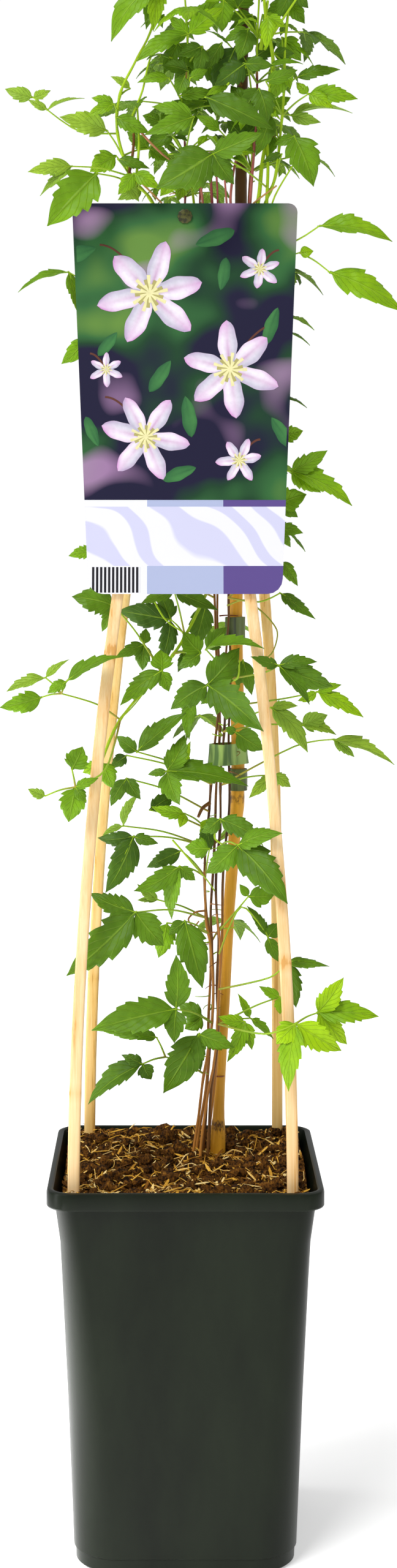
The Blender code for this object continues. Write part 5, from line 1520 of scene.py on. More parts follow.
@dataclass
class Climber:
    """One stem of the plant with its side shoots, leaf stalks, leaflets and tendrils."""

    name: str
    large: LeafletForm
    small: LeafletForm
    blanks: dict[str, Blank]
    stem_mm: float = 0.88
    shoot_mm: float = 0.95
    sway_mm: float = 0.6
    stalk_mm: float = 0.54
    rib_mm: float = 0.30
    joint_swell: float = 0.32
    joint_reach: float = 2.6
    small_leaflet: float = 20.0
    taper: float = 0.38
    uneven: float = 0.06
    curl_points: int = 13
    seed: int = 5

    def build(self, layout: Layout) -> None:
        """Make the stem and everything that grows on it, joined as one piece.

        Args:
            layout: Where everything lies.
        """
        rng = random.Random(f"{self.name}{self.seed}")
        leaves = layout.grown[self.name]
        pieces = [self.stem(index, leaves, rng) for index in range(len(VINES[self.name]))]
        for leaf in leaves:
            pieces += self.leaf(leaf, rng)
        for shoot in SHOOTS.get(self.name, ()):
            points = np.array([seen_at(*p) for p in smooth_path(shoot.points, 6)])
            pieces.append(bent_rod(
                self.blanks["shoot"], points, lambda s, r=shoot.radius: r * (1 - 0.35 * s),
                {"age": shoot.age}, material=1,
            ))
        pieces += self.curls(layout.paths[self.name][0], rng)
        settle_piece(pieces, f"{self.name}_leafy", [self.name], sharp=70)

    def stem(self, index: int, leaves: Sequence[GrownLeaf], rng: random.Random) -> Object:
        """A stem or side shoot: tapered, a little uneven, swollen where leaves grow.

        Args:
            index: Which line of the stem.
            leaves: Its leaves.
            rng: Source of its unevenness.

        Returns:
            The rod in its place.
        """
        path = np.array(smooth_path(VINES[self.name][index], 8))
        turns = [rng.uniform(0, math.tau) for _ in range(3)]
        height = path[:, 2]
        pitch = rng.uniform(9, 15)
        path[:, 0] += self.sway_mm * np.sin(height / pitch + turns[0])
        path[:, 1] += self.sway_mm * np.sin(height / (pitch + 2) + turns[1])
        thick = self.stem_mm if index == 0 else self.shoot_mm
        joints = np.array([leaf.stalk[0][:] for leaf in leaves])
        given = np.linspace(0, 1, len(path))

        def radius(share: np.ndarray) -> np.ndarray:
            """The stem's radius, more at its joints.

            Args:
                share: Shares of its length.

            Returns:
                The radius at each share.
            """
            places = np.stack([np.interp(share, given, path[:, k]) for k in range(3)], axis=1)
            swell = np.zeros(len(share))
            for joint in joints:
                away = np.linalg.norm(places - joint, axis=1)
                swell = np.maximum(swell, np.exp(-((away / self.joint_reach) ** 2)))
            return thick * (1 - self.taper * share) * (
                1 + self.joint_swell * swell + self.uneven * np.sin(share * 90 + turns[2])
            )

        def age(share: np.ndarray) -> np.ndarray:
            """How woody it is there, with painted shade on stems behind: a side shoot is young all
            along.
            """
            if index == 0:
                return self.age_and_shade_at(np.interp(share, given, height))
            return 0.42 * (1 - np.clip(share * 5, 0, 1)) + 0.04

        return bent_rod(self.blanks["stem"], path, radius, {"age": age}, material=1)

    def curls(self, path: Sequence[Vector], rng: random.Random) -> list[Object]:
        """Remains of stalks and tendrils that curl beside the stem.

        Args:
            path: The stem's points.
            rng: Source of their places and curls.

        Returns:
            The curls.
        """
        pieces = []
        for name, low, high, count in CURLS:
            for i in range(count if name == self.name else 0):
                here = np.array(path_at(path, low + (high - low) * (i + rng.random()) / count))
                way, rise = rng.uniform(0, math.tau), rng.uniform(-0.5, 0.8)
                reach, turn = rng.uniform(5, 15), rng.uniform(-3.5, 3.5)
                share = np.linspace(0, 1, self.curl_points)[:, None]
                angle = way + turn * share ** 1.6
                steps = np.hstack([np.cos(angle), np.sin(angle), rise * np.cos(3 * share)])
                points = here + np.cumsum(steps, axis=0) * reach / self.curl_points
                thick = rng.uniform(0.28, 0.55)
                age = rng.choice((0.05, 0.12, 0.2, 0.66, 0.8, 0.95))
                pieces.append(bent_rod(
                    self.blanks["shoot"], points, lambda s, r=thick: r * (1 - 0.5 * s),
                    {"age": age}, material=1,
                ))
        return pieces

    def age_and_shade_at(self, height: Any) -> Any:
        """How woody the stem is at a height, from 0 to 1, with values near 1 as painted shade."""
        levels, ages = np.array(AGES_AND_SHADE[self.name]).T
        return np.interp(height, levels, ages)

    def leaf(self, leaf: GrownLeaf, rng: random.Random) -> list[Object]:
        """A leaf: stalk, leaflets and their midribs.

        Args:
            leaf: Where it lies.
            rng: Source of its variety.

        Returns:
            Its pieces.
        """
        age = float(self.age_and_shade_at(leaf.stalk[0].z)) * 0.30
        path = np.array(smooth_path(leaf.stalk, 5))
        pieces = [bent_rod(
            self.blanks["stalk"], path, lambda s: self.stalk_mm * (1.15 - 0.35 * s),
            {"age": lambda s: age * (1 - s) + 0.08}, material=1,
        )]
        for blade in leaf.blades:
            mood = rng.uniform(-0.10, 0.10)
            small = (blade.tip - blade.base).length < self.small_leaflet
            form, kind = (self.small, "small leaflet") if small else (self.large, "leaflet")
            blank = self.blanks[kind]
            points = form.place(blank, blade, rng)
            u = (blank.points[:, 0] + 1) / 2
            pieces.append(blank.copy(points, {
                "tone": leaf.shade.value + mood + 0.10 * (u - 0.5),
                "below": (blank.points[:, 2] < 0) * 1.0,
                "pale": 1.0 if leaf.shade is PALE else 0.0,
            }))
            rib = [blade.point(s, 0) for s in np.linspace(-0.02, 0.45, 7)]
            pieces.append(bent_rod(
                self.blanks["rib"], np.array(rib), lambda s: self.rib_mm * 1.5 * (1.1 - s),
                {"age": 0.12}, material=1,
            ))
        return pieces


def square_ring(turns: np.ndarray, half: np.ndarray, radius: np.ndarray) -> np.ndarray:
    """Points round a square with round corners, spread evenly by turn.

    Args:
        turns: Share of the way round for each point, starting on a corner's arc.
        half: Half width of the square at each point.
        radius: Corner radius at each point.

    Returns:
        The points as x and y.
    """
    quarter = np.floor(turns * 4 + 1e-9).astype(int) % 4
    share = turns * 4 - np.floor(turns * 4 + 1e-9)
    arc = np.clip(share / 0.5, 0, 1) * math.pi / 2
    angle = quarter * math.pi / 2 + arc
    side_x = np.where((quarter == 0) | (quarter == 3), 1, -1)
    side_y = np.where(quarter < 2, 1, -1)
    x = side_x * (half - radius) + radius * np.cos(angle)
    y = side_y * (half - radius) + radius * np.sin(angle)
    flat = np.clip((share - 0.5) / 0.5, 0, 1)
    after_x = np.where((quarter == 3) | (quarter == 2), 1, -1) * (half - radius)
    after_y = np.where((quarter == 0) | (quarter == 3), 1, -1) * (half - radius)
    end = (quarter + 1) * math.pi / 2
    next_x = after_x + radius * np.cos(end)
    next_y = after_y + radius * np.sin(end)
    return np.stack([x + (next_x - x) * flat, y + (next_y - y) * flat], axis=1)


@dataclass
class Pot:
    """Square pot, thin-walled, with a foot step, a turned-over rim and drain holes."""

    height: float = 0.210
    rim_half: float = 0.075
    rim_corner: float = 0.013
    rim_depth: float = 0.0095
    wall: float = 0.0013
    floor: float = 0.0018
    sections: tuple[tuple[float, float, float], ...] = (
        (0.0015, 0.0600, 0.024), (0.0080, 0.0603, 0.024), (0.0090, 0.0612, 0.024),
        (0.0900, 0.0641, 0.020), (0.1570, 0.0669, 0.015), (0.1800, 0.0679, 0.012),
        (0.2005, 0.0705, 0.011),
    )
    sides: int = 96
    drain_radius: float = 0.005
    drain_offset: float = 0.036
    drill_length: float = 0.012
    foot_edge: tuple[tuple[float, float, float], ...] = (
        (0.0, 0.0026, 0.0225), (0.0004, 0.0010, 0.0235),
    )
    rim_lip: tuple[tuple[float, float], ...] = ((-0.0002, 0.0014), (0.0002, 0.0004), (0.0010, 0.0))
    rim_edge: tuple[tuple[float, float, float], ...] = (
        (0.0016, 0.0, 0.0), (0.0005, 0.0004, 0.0), (0.0, 0.0016, 0.0008),
        (0.0, 0.0028, 0.0020), (0.0005, 0.0036, 0.0026),
    )
    inner_drop: float = 0.0008
    floor_corner: float = 0.0227

    def profile(self) -> list[tuple[float, float, float]]:
        """Height, half width and corner radius of every ring, up the outside and down in."""
        low = self.height - self.rim_depth
        foot = self.sections[0][1]
        rings = [(up, foot - inward, radius) for up, inward, radius in self.foot_edge]
        rings += list(self.sections)
        rings += [(low + up, self.rim_half - inward, self.rim_corner) for up, inward in self.rim_lip]
        rings += [
            (self.height - down, self.rim_half - inward, self.rim_corner - less)
            for down, inward, less in self.rim_edge
        ]
        for height, half, radius in reversed(self.sections[3:]):
            rings.append((height - self.inner_drop, half - self.wall, radius - self.wall))
        rings.append((self.floor, foot - self.wall, self.floor_corner))
        return rings

    def build(self, material: Material) -> None:
        """Extrude the pot ring by ring, then drill its drains.

        Args:
            material: Its plastic.
        """
        rings = np.array(self.profile())
        blank = rod_blank(self.sides, len(rings) - 1, [material])
        height, half, corner = rings[blank.row].T
        pot = blank.copy(np.column_stack([square_ring(blank.turn, half, corner), height]))
        for x in (-self.drain_offset, self.drain_offset):
            for y in (-self.drain_offset, self.drain_offset):
                drill = add_primitive(
                    "cylinder", vertices=24, radius=self.drain_radius, depth=self.drill_length,
                    location=(x, y, 0),
                )
                cut = pot.modifiers.new("drain", "BOOLEAN")
                cut.operation = "DIFFERENCE"
                cut.object = drill
                apply_modifiers(pot)
                bpy.data.objects.remove(drill)
        settle_piece([pot], "pot_moulded", ["pot"], sharp=32)


@dataclass
class PottingMix:
    """Peat that fills the pot to just under its rim, with bark, straw and grit on top."""

    top: float = 0.2063
    bump: float = 0.0014
    rise: float = 0.040
    crumb: float = 0.0036
    crumb_size: float = 0.013
    below_rim: float = 0.2096
    edge_half: float = 0.0683
    edge_corner: float = 0.0100
    walls: tuple[Place, ...] = (
        (0.0024, 0.0582, 0.0215), (0.090, 0.0624, 0.018), (0.157, 0.0652, 0.013),
        (0.180, 0.0662, 0.010),
    )
    edge: float = 0.1975
    sides: int = 216
    rings: int = 60
    clods: int = 480
    chips: int = 760
    fibres: int = 360
    grit: int = 30
    chip_shades: tuple[float, ...] = (0.0, 0.15, 0.3, 0.42, 0.52, 0.6, 0.66, 0.72, 0.78, 0.86)
    chip_bevel: float = 0.35
    fibre_half: float = 66.0
    fibre_bends: int = 6
    seed: int = 3

    def height(self, x: float, y: float) -> float:
        """Height of the surface: a slope, lumps and crumbs, all below the rim.

        Args:
            x: Place across, in metres.
            y: Place in depth, in metres.

        Returns:
            The height in metres.
        """
        lumps = math.sin(x * 95 + 1.0) * math.cos(y * 80 - 0.4) + 0.5 * math.sin((x + y) * 170)
        crumbs = noise.fractal(Vector((x, y, 0)) / self.crumb_size, 0.8, 2.2, 5)
        level = self.top + self.bump * lumps + self.rise * y + self.crumb * crumbs
        return min(level, self.below_rim)

    def build(self, material: Material) -> None:
        """Make the body of peat: floor, walls and a crumbled top.

        Args:
            material: The peat.
        """
        table = np.array([*self.walls, (self.edge, self.edge_half, self.edge_corner)])
        last = len(table) - 1
        blank = rod_blank(self.sides, last + self.rings, [material])
        points = np.zeros((len(blank.row), 3))
        for i, (row, turn) in enumerate(zip(blank.row, blank.turn)):
            level, half, corner = table[min(row, last)]
            flat = square_ring(np.array([turn]), np.array([half]), np.array([corner]))[0]
            x, y = flat * (1 - 0.995 * max(0, row - last) / self.rings)
            points[i] = (x, y, level if row <= last else self.height(x, y))
        settle_piece([blank.copy(points)], "potting_mix_crumbled",
                     ["potting_mix"], sharp=60)

    def spot(self, rng: random.Random) -> tuple[float, float]:
        """A place on the surface, anywhere inside the edge."""
        half = self.edge_half - 0.003
        return rng.uniform(-half, half), rng.uniform(-half, half)

    def lie(
        self, blank: Blank, size: Sequence[float], taper: float, rng: random.Random
    ) -> np.ndarray:
        """Points of a scrap that lies on the surface, turned and tilted at random.

        Args:
            blank: The scrap as modelled, about 2 across.
            size: Half its length, width and thickness in millimetres.
            taper: Share of its width that its ends lose.
            rng: Source of its place and shape.

        Returns:
            Its points in metres.
        """
        x, y = self.spot(rng)
        jitter = np.array([[rng.uniform(0.75, 1.25) for _ in range(3)] for _ in blank.points])
        shape = blank.points * jitter
        shape[:, 1:] *= (1 - taper * np.minimum(np.abs(shape[:, :1]), 1) ** 1.5)
        shape[:, 2] += 0.5 * rng.uniform(-1, 1) * shape[:, 0] ** 2
        shape = shape * np.array(size)
        turn, tilt = rng.uniform(0, math.tau), rng.uniform(-0.6, 0.6)
        cos, sin = math.cos(turn), math.sin(turn)
        lifted = shape[:, 2] * math.cos(tilt) + shape[:, 0] * math.sin(tilt)
        flat = shape[:, 0] * math.cos(tilt) - shape[:, 2] * math.sin(tilt)
        turned = [flat * cos - shape[:, 1] * sin, flat * sin + shape[:, 1] * cos, lifted]
        points = np.column_stack(turned) * MM
        rim = self.edge_half - 0.0006
        for axis, middle in enumerate((x, y)):
            points[:, axis] = np.clip(points[:, axis] + middle, -rim, rim)
        points[:, 2] += self.height(x, y) + 0.0007
        return points

    def scatter(self, bark: Material, peat: Material) -> None:
        """Lay clods of peat, bark and straw scraps, grit and fibres on the mix.

        Args:
            bark: Finish of all but the clods.
            peat: Finish of the clods.
        """
        rng = random.Random(self.seed)
        cube = add_primitive("cube", size=2)
        bpy.ops.object.mode_set(mode="EDIT")
        bpy.ops.mesh.select_all(action="SELECT")
        bpy.ops.mesh.bevel(offset=self.chip_bevel, segments=1, affect="EDGES")
        bpy.ops.object.mode_set(mode="OBJECT")
        chip = Blank(cube, [bark, peat])
        lump = Blank(add_primitive("ico_sphere", subdivisions=2, radius=1), [bark, peat])
        fibre = rod_blank(5, 6, [bark, peat])
        pieces = []
        for _ in range(self.clods):
            across = 1.0 + 4.4 * rng.random() ** 2.6
            size = [across * rng.uniform(0.7, 1.2), across, across * rng.uniform(0.5, 0.9)]
            pieces.append(lump.copy(self.lie(lump, size, 0.0, rng), {"shade": 0.0}, material=1))
        for _ in range(self.chips):
            length = 1.3 + 6.4 * rng.random() ** 2.0
            size = [length, rng.uniform(0.5, 1.5), rng.uniform(0.15, 0.5)]
            shade = rng.choice(self.chip_shades)
            pieces.append(chip.copy(self.lie(chip, size, 0.75, rng), {"shade": shade}))
        for _ in range(self.grit):
            size = [rng.uniform(0.4, 0.9) for _ in range(3)]
            grain = self.lie(chip, size, 0.2, rng)
            pieces.append(chip.copy(grain, {"shade": rng.uniform(0.9, 1.2)}))
        for _ in range(self.fibres):
            path = self.fibre_path(rng)
            thick = rng.uniform(0.16, 0.42)
            pieces.append(bent_rod(fibre, path, lambda s, t=thick: t * (1 - 0.5 * s),
                                   {"shade": rng.uniform(0.35, 0.85)}))
        settle_piece(pieces, "bark_and_straw")

    def fibre_path(self, rng: random.Random) -> np.ndarray:
        """Points of a fibre that bends and arches over the surface.

        Args:
            rng: Source of its place, length and bend.

        Returns:
            Its points in millimetres.
        """
        x, y = (v / MM for v in self.spot(rng))
        turn = rng.uniform(0, math.tau)
        reach = 4 + 18 * rng.random() ** 1.6
        bend = rng.uniform(-1.4, 1.4)
        arch = rng.uniform(0.2, 2.2)
        path = []
        for s in np.linspace(0, 1, self.fibre_bends + 1):
            x += reach / self.fibre_bends * math.cos(turn + bend * s)
            y += reach / self.fibre_bends * math.sin(turn + bend * s)
            x, y = (max(-self.fibre_half, min(self.fibre_half, v)) for v in (x, y))
            level = self.height(x * MM, y * MM) / MM
            path.append((x, y, level + 0.5 + arch * math.sin(math.pi * s)))
        return np.array(path)


@dataclass
class Trellis:
    """Four bamboo slats, upright in the pot's corners and tied together at the top."""

    width: float = 6.4
    thick: float = 3.6
    foot: float = 110.0
    lean: float = 0.065
    straight: float = 200.0
    gather: float = 720.0
    top: float = 748.0
    top_x: float = 5.0
    top_y: float = 3.2
    tie: tuple[float, float] = (724.0, 736.0)
    tie_thick: float = 0.9
    sides: int = 24
    rows: int = 110
    round_across: float = 0.42
    round_through: float = 0.55
    joint_half: float = 1.6
    joint_swell: float = 0.05
    uneven: float = 0.035
    seed: int = 8
    joints: tuple[tuple[float, ...], ...] = (
        (262.0, 498.0, 690.0), (330.0, 610.0), (300.0, 560.0), (410.0, 655.0),
    )
    slats: tuple[tuple[str, int, int, float, float, float], ...] = (
        ("slat_front_left", -1, -1, 60.5, 60.0, 1.9),
        ("slat_front_right", 1, -1, 58.0, 60.0, 1.9),
        ("slat_back_left", -1, 1, 56.0, 58.0, 1.9),
        ("slat_back_right", 1, 1, 55.0, 58.0, 4.0),
    )

    def centre(self, index: int, height: float) -> Vector:
        """Middle of a slat at a height: along the pot's taper, then bowed in.

        Args:
            index: Which slat.
            height: The height in millimetres.

        Returns:
            The point in millimetres.
        """
        _, side_x, side_y, foot_x, foot_y, late = self.slats[index]
        taper = self.lean * max(0.0, self.straight - height)
        share = (height - self.straight) / (self.gather - self.straight)
        bow = min(1.0, max(0.0, share)) ** late
        x = side_x * (foot_x + (self.top_x - foot_x) * bow - taper)
        y = side_y * (foot_y + (self.top_y - foot_y) * bow - taper)
        return Vector((x, y, height))

    def points_to_avoid(self) -> list[Vector]:
        """Points along the slats that leaves keep clear of."""
        return [
            self.centre(i, z) for i in range(len(self.slats)) for z in range(200, 750, 6)
        ]

    def build(self, materials: Sequence[Material]) -> None:
        """Make each slat: a strip with rounded edges, low joints and a sawn top.

        Args:
            materials: Bamboo of the two front slats and of the two back ones.
        """
        rng = random.Random(self.seed)
        for index, (name, *_rest) in enumerate(self.slats):
            blank = rod_blank(self.sides, self.rows, [materials[index // 2]])
            heights = self.foot + (self.top - self.foot) * blank.points[:, 2]
            cos, sin = np.cos(blank.angle), np.sin(blank.angle)
            x = np.sign(cos) * np.abs(cos) ** self.round_across * self.width / 2
            y = np.sign(sin) * np.abs(sin) ** self.round_through * self.thick / 2
            joint = np.zeros(len(heights))
            for place in self.joints[index]:
                near = np.exp(-(((heights - place) / self.joint_half) ** 2))
                joint = np.maximum(joint, near)
            wave = rng.uniform(0, math.tau)
            grow = 1 + self.uneven * np.sin(heights / 37 + wave) + self.joint_swell * joint
            ends = np.minimum(1.0, (self.top - heights) / 0.8 * 0.3 + 0.7)
            centres = np.array([self.centre(index, h) for h in heights])
            points = centres + np.column_stack([x * grow * ends, y * grow * ends, 0 * x])
            slat = blank.copy(points * MM, {"joint": joint})
            settle_piece([slat], f"{name}_planed", [name], sharp=50)

    def bind(self, material: Material) -> None:
        """Tie the slats together near the top.

        Args:
            material: The tie's plastic.
        """
        cloud = [
            (x * self.top_x + e * self.width / 2, y * (self.top_y + self.thick / 2 + 0.6))
            for x in (-1, 1) for y in (-1, 1) for e in (-1, 1)
        ]
        corners = np.array([cloud[i] for i in convex_hull_2d(cloud)])
        closed = np.vstack([corners, corners[:1]])
        even = np.linspace(0, len(corners), 41)[:-1]
        outline = np.column_stack([
            np.interp(even, np.arange(len(closed)), closed[:, k]) for k in (0, 1)
        ])
        drawn_strip("trellis_tie", outline, self.tie, self.tie_thick, 0.0, material)


@dataclass
class Cane:
    """Bamboo cane behind the stems, thicker at its joints."""

    sides: int = 24
    rows: int = 260
    joints: tuple[float, ...] = (223.0, 411.0, 600.0, 768.0)
    weathered: float = 672.0
    weathering: float = 76.0
    ridge: float = 1.5
    groove: float = 1.2
    groove_above: float = 3.2
    stained: float = 3.2
    swell: float = 0.05
    uneven: float = 0.012

    def build(self, material: Material) -> None:
        """Bend and swell a rod to the cane's points, stained at joints and weathered on top.

        Args:
            material: The cane's skin.
        """
        blank = rod_blank(self.sides, self.rows, [material])
        table = np.array(CANE)
        low, high = table[0, 2], table[-1, 2]
        row = low + (high - low) * np.linspace(0, 1, self.rows + 1)
        path = np.column_stack([np.interp(row, table[:, 2], table[:, k]) for k in (0, 1)] + [row])
        width = np.interp(row, table[:, 2], table[:, 3])
        width = np.convolve(np.pad(width, 2, mode="edge"), np.ones(5) / 5, mode="valid")
        ridge = sum(np.exp(-(((row - j) / self.ridge) ** 2)) for j in self.joints)
        groove = sum(
            np.exp(-(((row - j - self.groove_above) / self.groove) ** 2)) for j in self.joints
        )
        width = width * (
            1 + self.swell * ridge - self.swell * groove + self.uneven * np.sin(row / 9)
        )
        width[0] *= 0.96
        width[-1] *= 0.90
        stain = sum(np.exp(-(((row - j) / self.stained) ** 2)) for j in self.joints)
        stain += 1.6 * np.clip((row - self.weathered) / self.weathering, 0, 1) ** 1.5
        given = np.linspace(0, 1, self.rows + 1)
        cane = bent_rod(
            blank, path, lambda s: np.interp(s, given, width),
            {"joint": lambda s: np.interp(s, given, stain)},
        )
        settle_piece([cane], "cane_natural", ["cane"], sharp=55)


@dataclass
class Band:
    """A strip of plastic drawn round the cane and the stems that it holds."""

    node: str
    low: float
    high: float
    held: tuple[str, ...]
    thick: float = 0.7
    slack: float = 0.6
    flare: float = 0.0
    cane_radius: float = 4.1
    stem_radius: float = 1.15

    def outline(self) -> np.ndarray:
        """Points of the hull round what it holds, in millimetres."""
        circles = []
        held = [(CANE, self.cane_radius)]
        held += [(VINES[vine][0], self.stem_radius) for vine in self.held]
        for height in (self.low, (self.low + self.high) / 2, self.high):
            for path, radius in held:
                place = path_at(path, height)
                circles.append((place.x, place.y, radius + self.slack))
        cloud = [
            (x + r * math.cos(a), y + r * math.sin(a))
            for x, y, r in circles for a in np.linspace(0, math.tau, 40, endpoint=False)
        ]
        return np.array([cloud[i] for i in convex_hull_2d(cloud)])

    def build(self, material: Material) -> None:
        """Draw the strip round the hull."""
        levels = (self.low, self.high)
        drawn_strip(self.node, self.outline(), levels, self.thick, self.flare, material)


def drawn_strip(
    node: str, outline: np.ndarray, levels: tuple[float, float], thick: float, flare: float,
    material: Material,
) -> None:
    """Draw a strip round an outline, creased a little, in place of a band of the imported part.

    Args:
        node: The band that it stands for.
        outline: Points of its inside in millimetres.
        levels: Lowest and highest height.
        thick: Thickness.
        flare: How much wider the lower edge is.
        material: Its finish.
    """
    blank = rod_blank(72, 8, [material], ends="NOTHING")
    middle = outline.mean(axis=0)
    order = np.argsort(np.arctan2(outline[:, 1] - middle[1], outline[:, 0] - middle[0]))
    loop = outline[[*order, order[0]]]
    run = np.concatenate([[0], np.cumsum(np.linalg.norm(np.diff(loop, axis=0), axis=1))])
    flat = np.column_stack([np.interp(blank.turn * run[-1], run, loop[:, k]) for k in (0, 1)])
    up = blank.points[:, 2]
    crease = 0.12 * np.sin(blank.turn * math.tau * 9) * np.sin(up * math.pi)
    away = flat - middle
    size = np.linalg.norm(away, axis=1)[:, None]
    flat = flat + away / size * (crease + flare * (1 - up) ** 2)[:, None]
    low, high = levels
    strip = blank.copy(np.column_stack([flat, low + (high - low) * up]) * MM)
    wall = strip.modifiers.new("thickness", "SOLIDIFY")
    wall.thickness = thick * MM
    wall.offset = 1.0
    apply_modifiers(strip)
    settle_piece([strip], f"{node}_drawn", [node], sharp=40)


@dataclass(frozen=True)
class PrintedCard(Finish):
    """Coated card with an offset print: a blurred garden, pale bands and ruled stripes.

    slope is how the card leans, as depth over height, and middle is the depth in
    millimetres of the middle of its thickness at height 0.
    """

    name: str = "coated card, offset print"
    roughness: float = 0.45
    ior: float = 1.5
    slope: float = 0.0
    middle: float = 0.0
    night: str = "#110e2e"
    leaf_dark: str = "#123a20"
    leaf_mid: str = "#2c5f30"
    leaf_light: str = "#5c8236"
    blossom: str = "#a982ad"
    white: str = "#dcdce3"
    lavender: str = "#c2c2dc"
    sky: str = "#a2abca"
    violet: str = "#564582"
    black: str = "#17151c"
    blur_mm: float = 46.0
    blossom_mm: Place = (35.3846, 35.3846, 30.6667)
    swirl_mm: float = 45.4545
    stripe_mm: float = 1.1

    def patterns(self, tree: NodeTree) -> Feeds:
        """The blurred garden, each printed zone over it, and a plain back.

        Args:
            tree: The material's node tree.

        Returns:
            What feeds the shader, by the name of its input, and the height of the relief.
        """
        soft = add_node(
            tree, "TexNoise", {"Detail": 1.5, "Roughness": 0.4}, size_mm=self.blur_mm
        )
        garden = add_node(
            tree, "ValToRGB", [soft],
            stops=((0.45, self.night), (0.52, self.leaf_dark), (0.60, self.leaf_mid),
                   (0.70, self.leaf_light)),
        )
        spots = add_node(tree, "TexNoise", {"Detail": 0.0}, size_mm=self.blossom_mm)
        glow = add_node(
            tree, "MapRange", {"Value": spots, "From Min": 0.62, "From Max": 0.78, "To Max": 0.70}
        )
        colour = add_node(tree, "Mix", [glow, garden, self.blossom], data_type="RGBA")
        swirl = add_node(
            tree, "TexWave", {"Distortion": 8.0, "Detail": 1.0, "Detail Scale": 0.9}, "Fac",
            size_mm=self.swirl_mm, bands_direction="DIAGONAL",
        )
        panel = add_node(
            tree, "ValToRGB", [swirl], stops=((0.52, self.white), (0.66, self.lavender))
        )
        place = add_node(tree, "SeparateXYZ", size_mm=1.0).node.outputs
        ruled = add_node(tree, "Math", [place["X"], self.stripe_mm], operation="PINGPONG")
        line = add_node(tree, "MapRange", {"Value": ruled, "From Min": 0.62, "From Max": 0.70})
        stripes = add_node(tree, "Mix", [line, self.black, self.white], data_type="RGBA")
        zones = (
            (-90.0, 90.0, 500.0, 582.0, self.white), (-21.0, 21.0, 500.0, 582.0, self.sky),
            (21.0, 90.0, 500.0, 582.0, self.violet), (-90.0, 90.0, 545.6, 578.3, panel),
            (-51.5, -24.8, 530.9, 545.0, stripes),
        )
        for left, right, low, high, ink in zones:
            inside = 1.0
            for axis, edge, test in (
                ("X", left, "GREATER_THAN"), ("X", right, "LESS_THAN"),
                ("Z", low, "GREATER_THAN"), ("Z", high, "LESS_THAN"),
            ):
                past = add_node(tree, "Math", [place[axis], edge], operation=test)
                inside = add_node(tree, "Math", [past, inside], operation="MULTIPLY")
            colour = add_node(tree, "Mix", [inside, colour, ink], data_type="RGBA")
        depth = add_node(
            tree, "Math", [place["Z"], -self.slope, place["Y"]], operation="MULTIPLY_ADD"
        )
        behind = add_node(tree, "Math", [depth, self.middle], operation="GREATER_THAN")
        faced = add_node(tree, "Mix", [behind, colour, self.white], data_type="RGBA")
        return {"Base Color": faced}


@dataclass(frozen=True)
class PetalInk(Finish):
    """The printed flowers: the same coated ink, in each petal's own colours."""

    name: str = "coated card, printed flowers"
    roughness: float = 0.45
    ior: float = 1.5
    grain_mm: float = 2.381

    def patterns(self, tree: NodeTree) -> Feeds:
        """The ink's colour, with a little grain as a print has.

        Args:
            tree: The material's node tree.

        Returns:
            What feeds the shader, by the name of its input, and the height of the relief.
        """
        ink = add_node(tree, "Attribute", attribute_name="ink")
        grain = add_node(tree, "TexNoise", {"Detail": 3.0}, size_mm=self.grain_mm)
        light = add_node(tree, "MapRange", {"Value": grain, "To Min": 0.86, "To Max": 1.14})
        return {"Base Color": add_node(
            tree, "Mix", [1.0, ink, light], data_type="RGBA", blend_type="MULTIPLY"
        )}


@dataclass(frozen=True)
class PinPlastic(Finish):
    """Moulded nylon of the push pin: olive, ribbed, half matt."""

    name: str = "moulded nylon, olive"
    roughness: float = 0.42
    ior: float = 1.53
    olive: str = "#4b4b22"
    dark: str = "#2a2a18"
    spot_mm: float = 1.66667

    def patterns(self, tree: NodeTree) -> Feeds:
        """Olive, painted darker in the hollows of its bump as painted shade.

        Args:
            tree: The material's node tree.

        Returns:
            What feeds the shader, by the name of its input, and the height of the relief.
        """
        spots = add_node(tree, "TexNoise", {"Detail": 3.0}, size_mm=self.spot_mm)
        # Painted shade: the low spots of the bump take the dark olive.
        stops = ((0.38, self.dark), (0.62, self.olive))
        return {"Base Color": add_node(tree, "ValToRGB", [spots], stops=stops), "Height": spots}


@dataclass(frozen=True)
class StudioFloor(Finish):
    """Matt white backdrop paper under the pot."""

    name: str = "matt white backdrop paper"
    roughness: float = 0.9
    gloss: float = 0.0
    white: str = "#f8f8f8"
    shade: str = "#f4f4f4"
    lit: float = 0.40
    cloud_mm: float = 333.333

    def make(self) -> Material:
        """White paper, also lit from within so that it stays white in the picture."""
        material = super().make()
        shader = material.node_tree.nodes["Principled BSDF"]
        shader.inputs["Emission Color"].default_value = hex_colour(self.white)
        shader.inputs["Emission Strength"].default_value = self.lit
        return material

    def patterns(self, tree: NodeTree) -> Feeds:
        """White, with faint clouds of paper fibre.

        Args:
            tree: The material's node tree.

        Returns:
            What feeds the shader, by the name of its input, and the height of the relief.
        """
        clouds = add_node(tree, "TexNoise", {"Detail": 2.0}, size_mm=self.cloud_mm)
        stops = ((0.3, self.shade), (0.7, self.white))
        return {"Base Color": add_node(tree, "ValToRGB", [clouds], stops=stops)}


class Ink(Enum):
    """Colours of the printed flowers."""

    WHITE = "#e6e2ea"
    BLUSH = "#c083be"
    MAUVE = "#a8589f"
    SHADOW = "#9d9db2"
    CREAM = "#dcd6a0"
    CREAM_DEEP = "#a79f62"
    STALK = "#5a3226"
    LEAF = "#1f5230"
    LEAF_LIGHT = "#3f7a40"


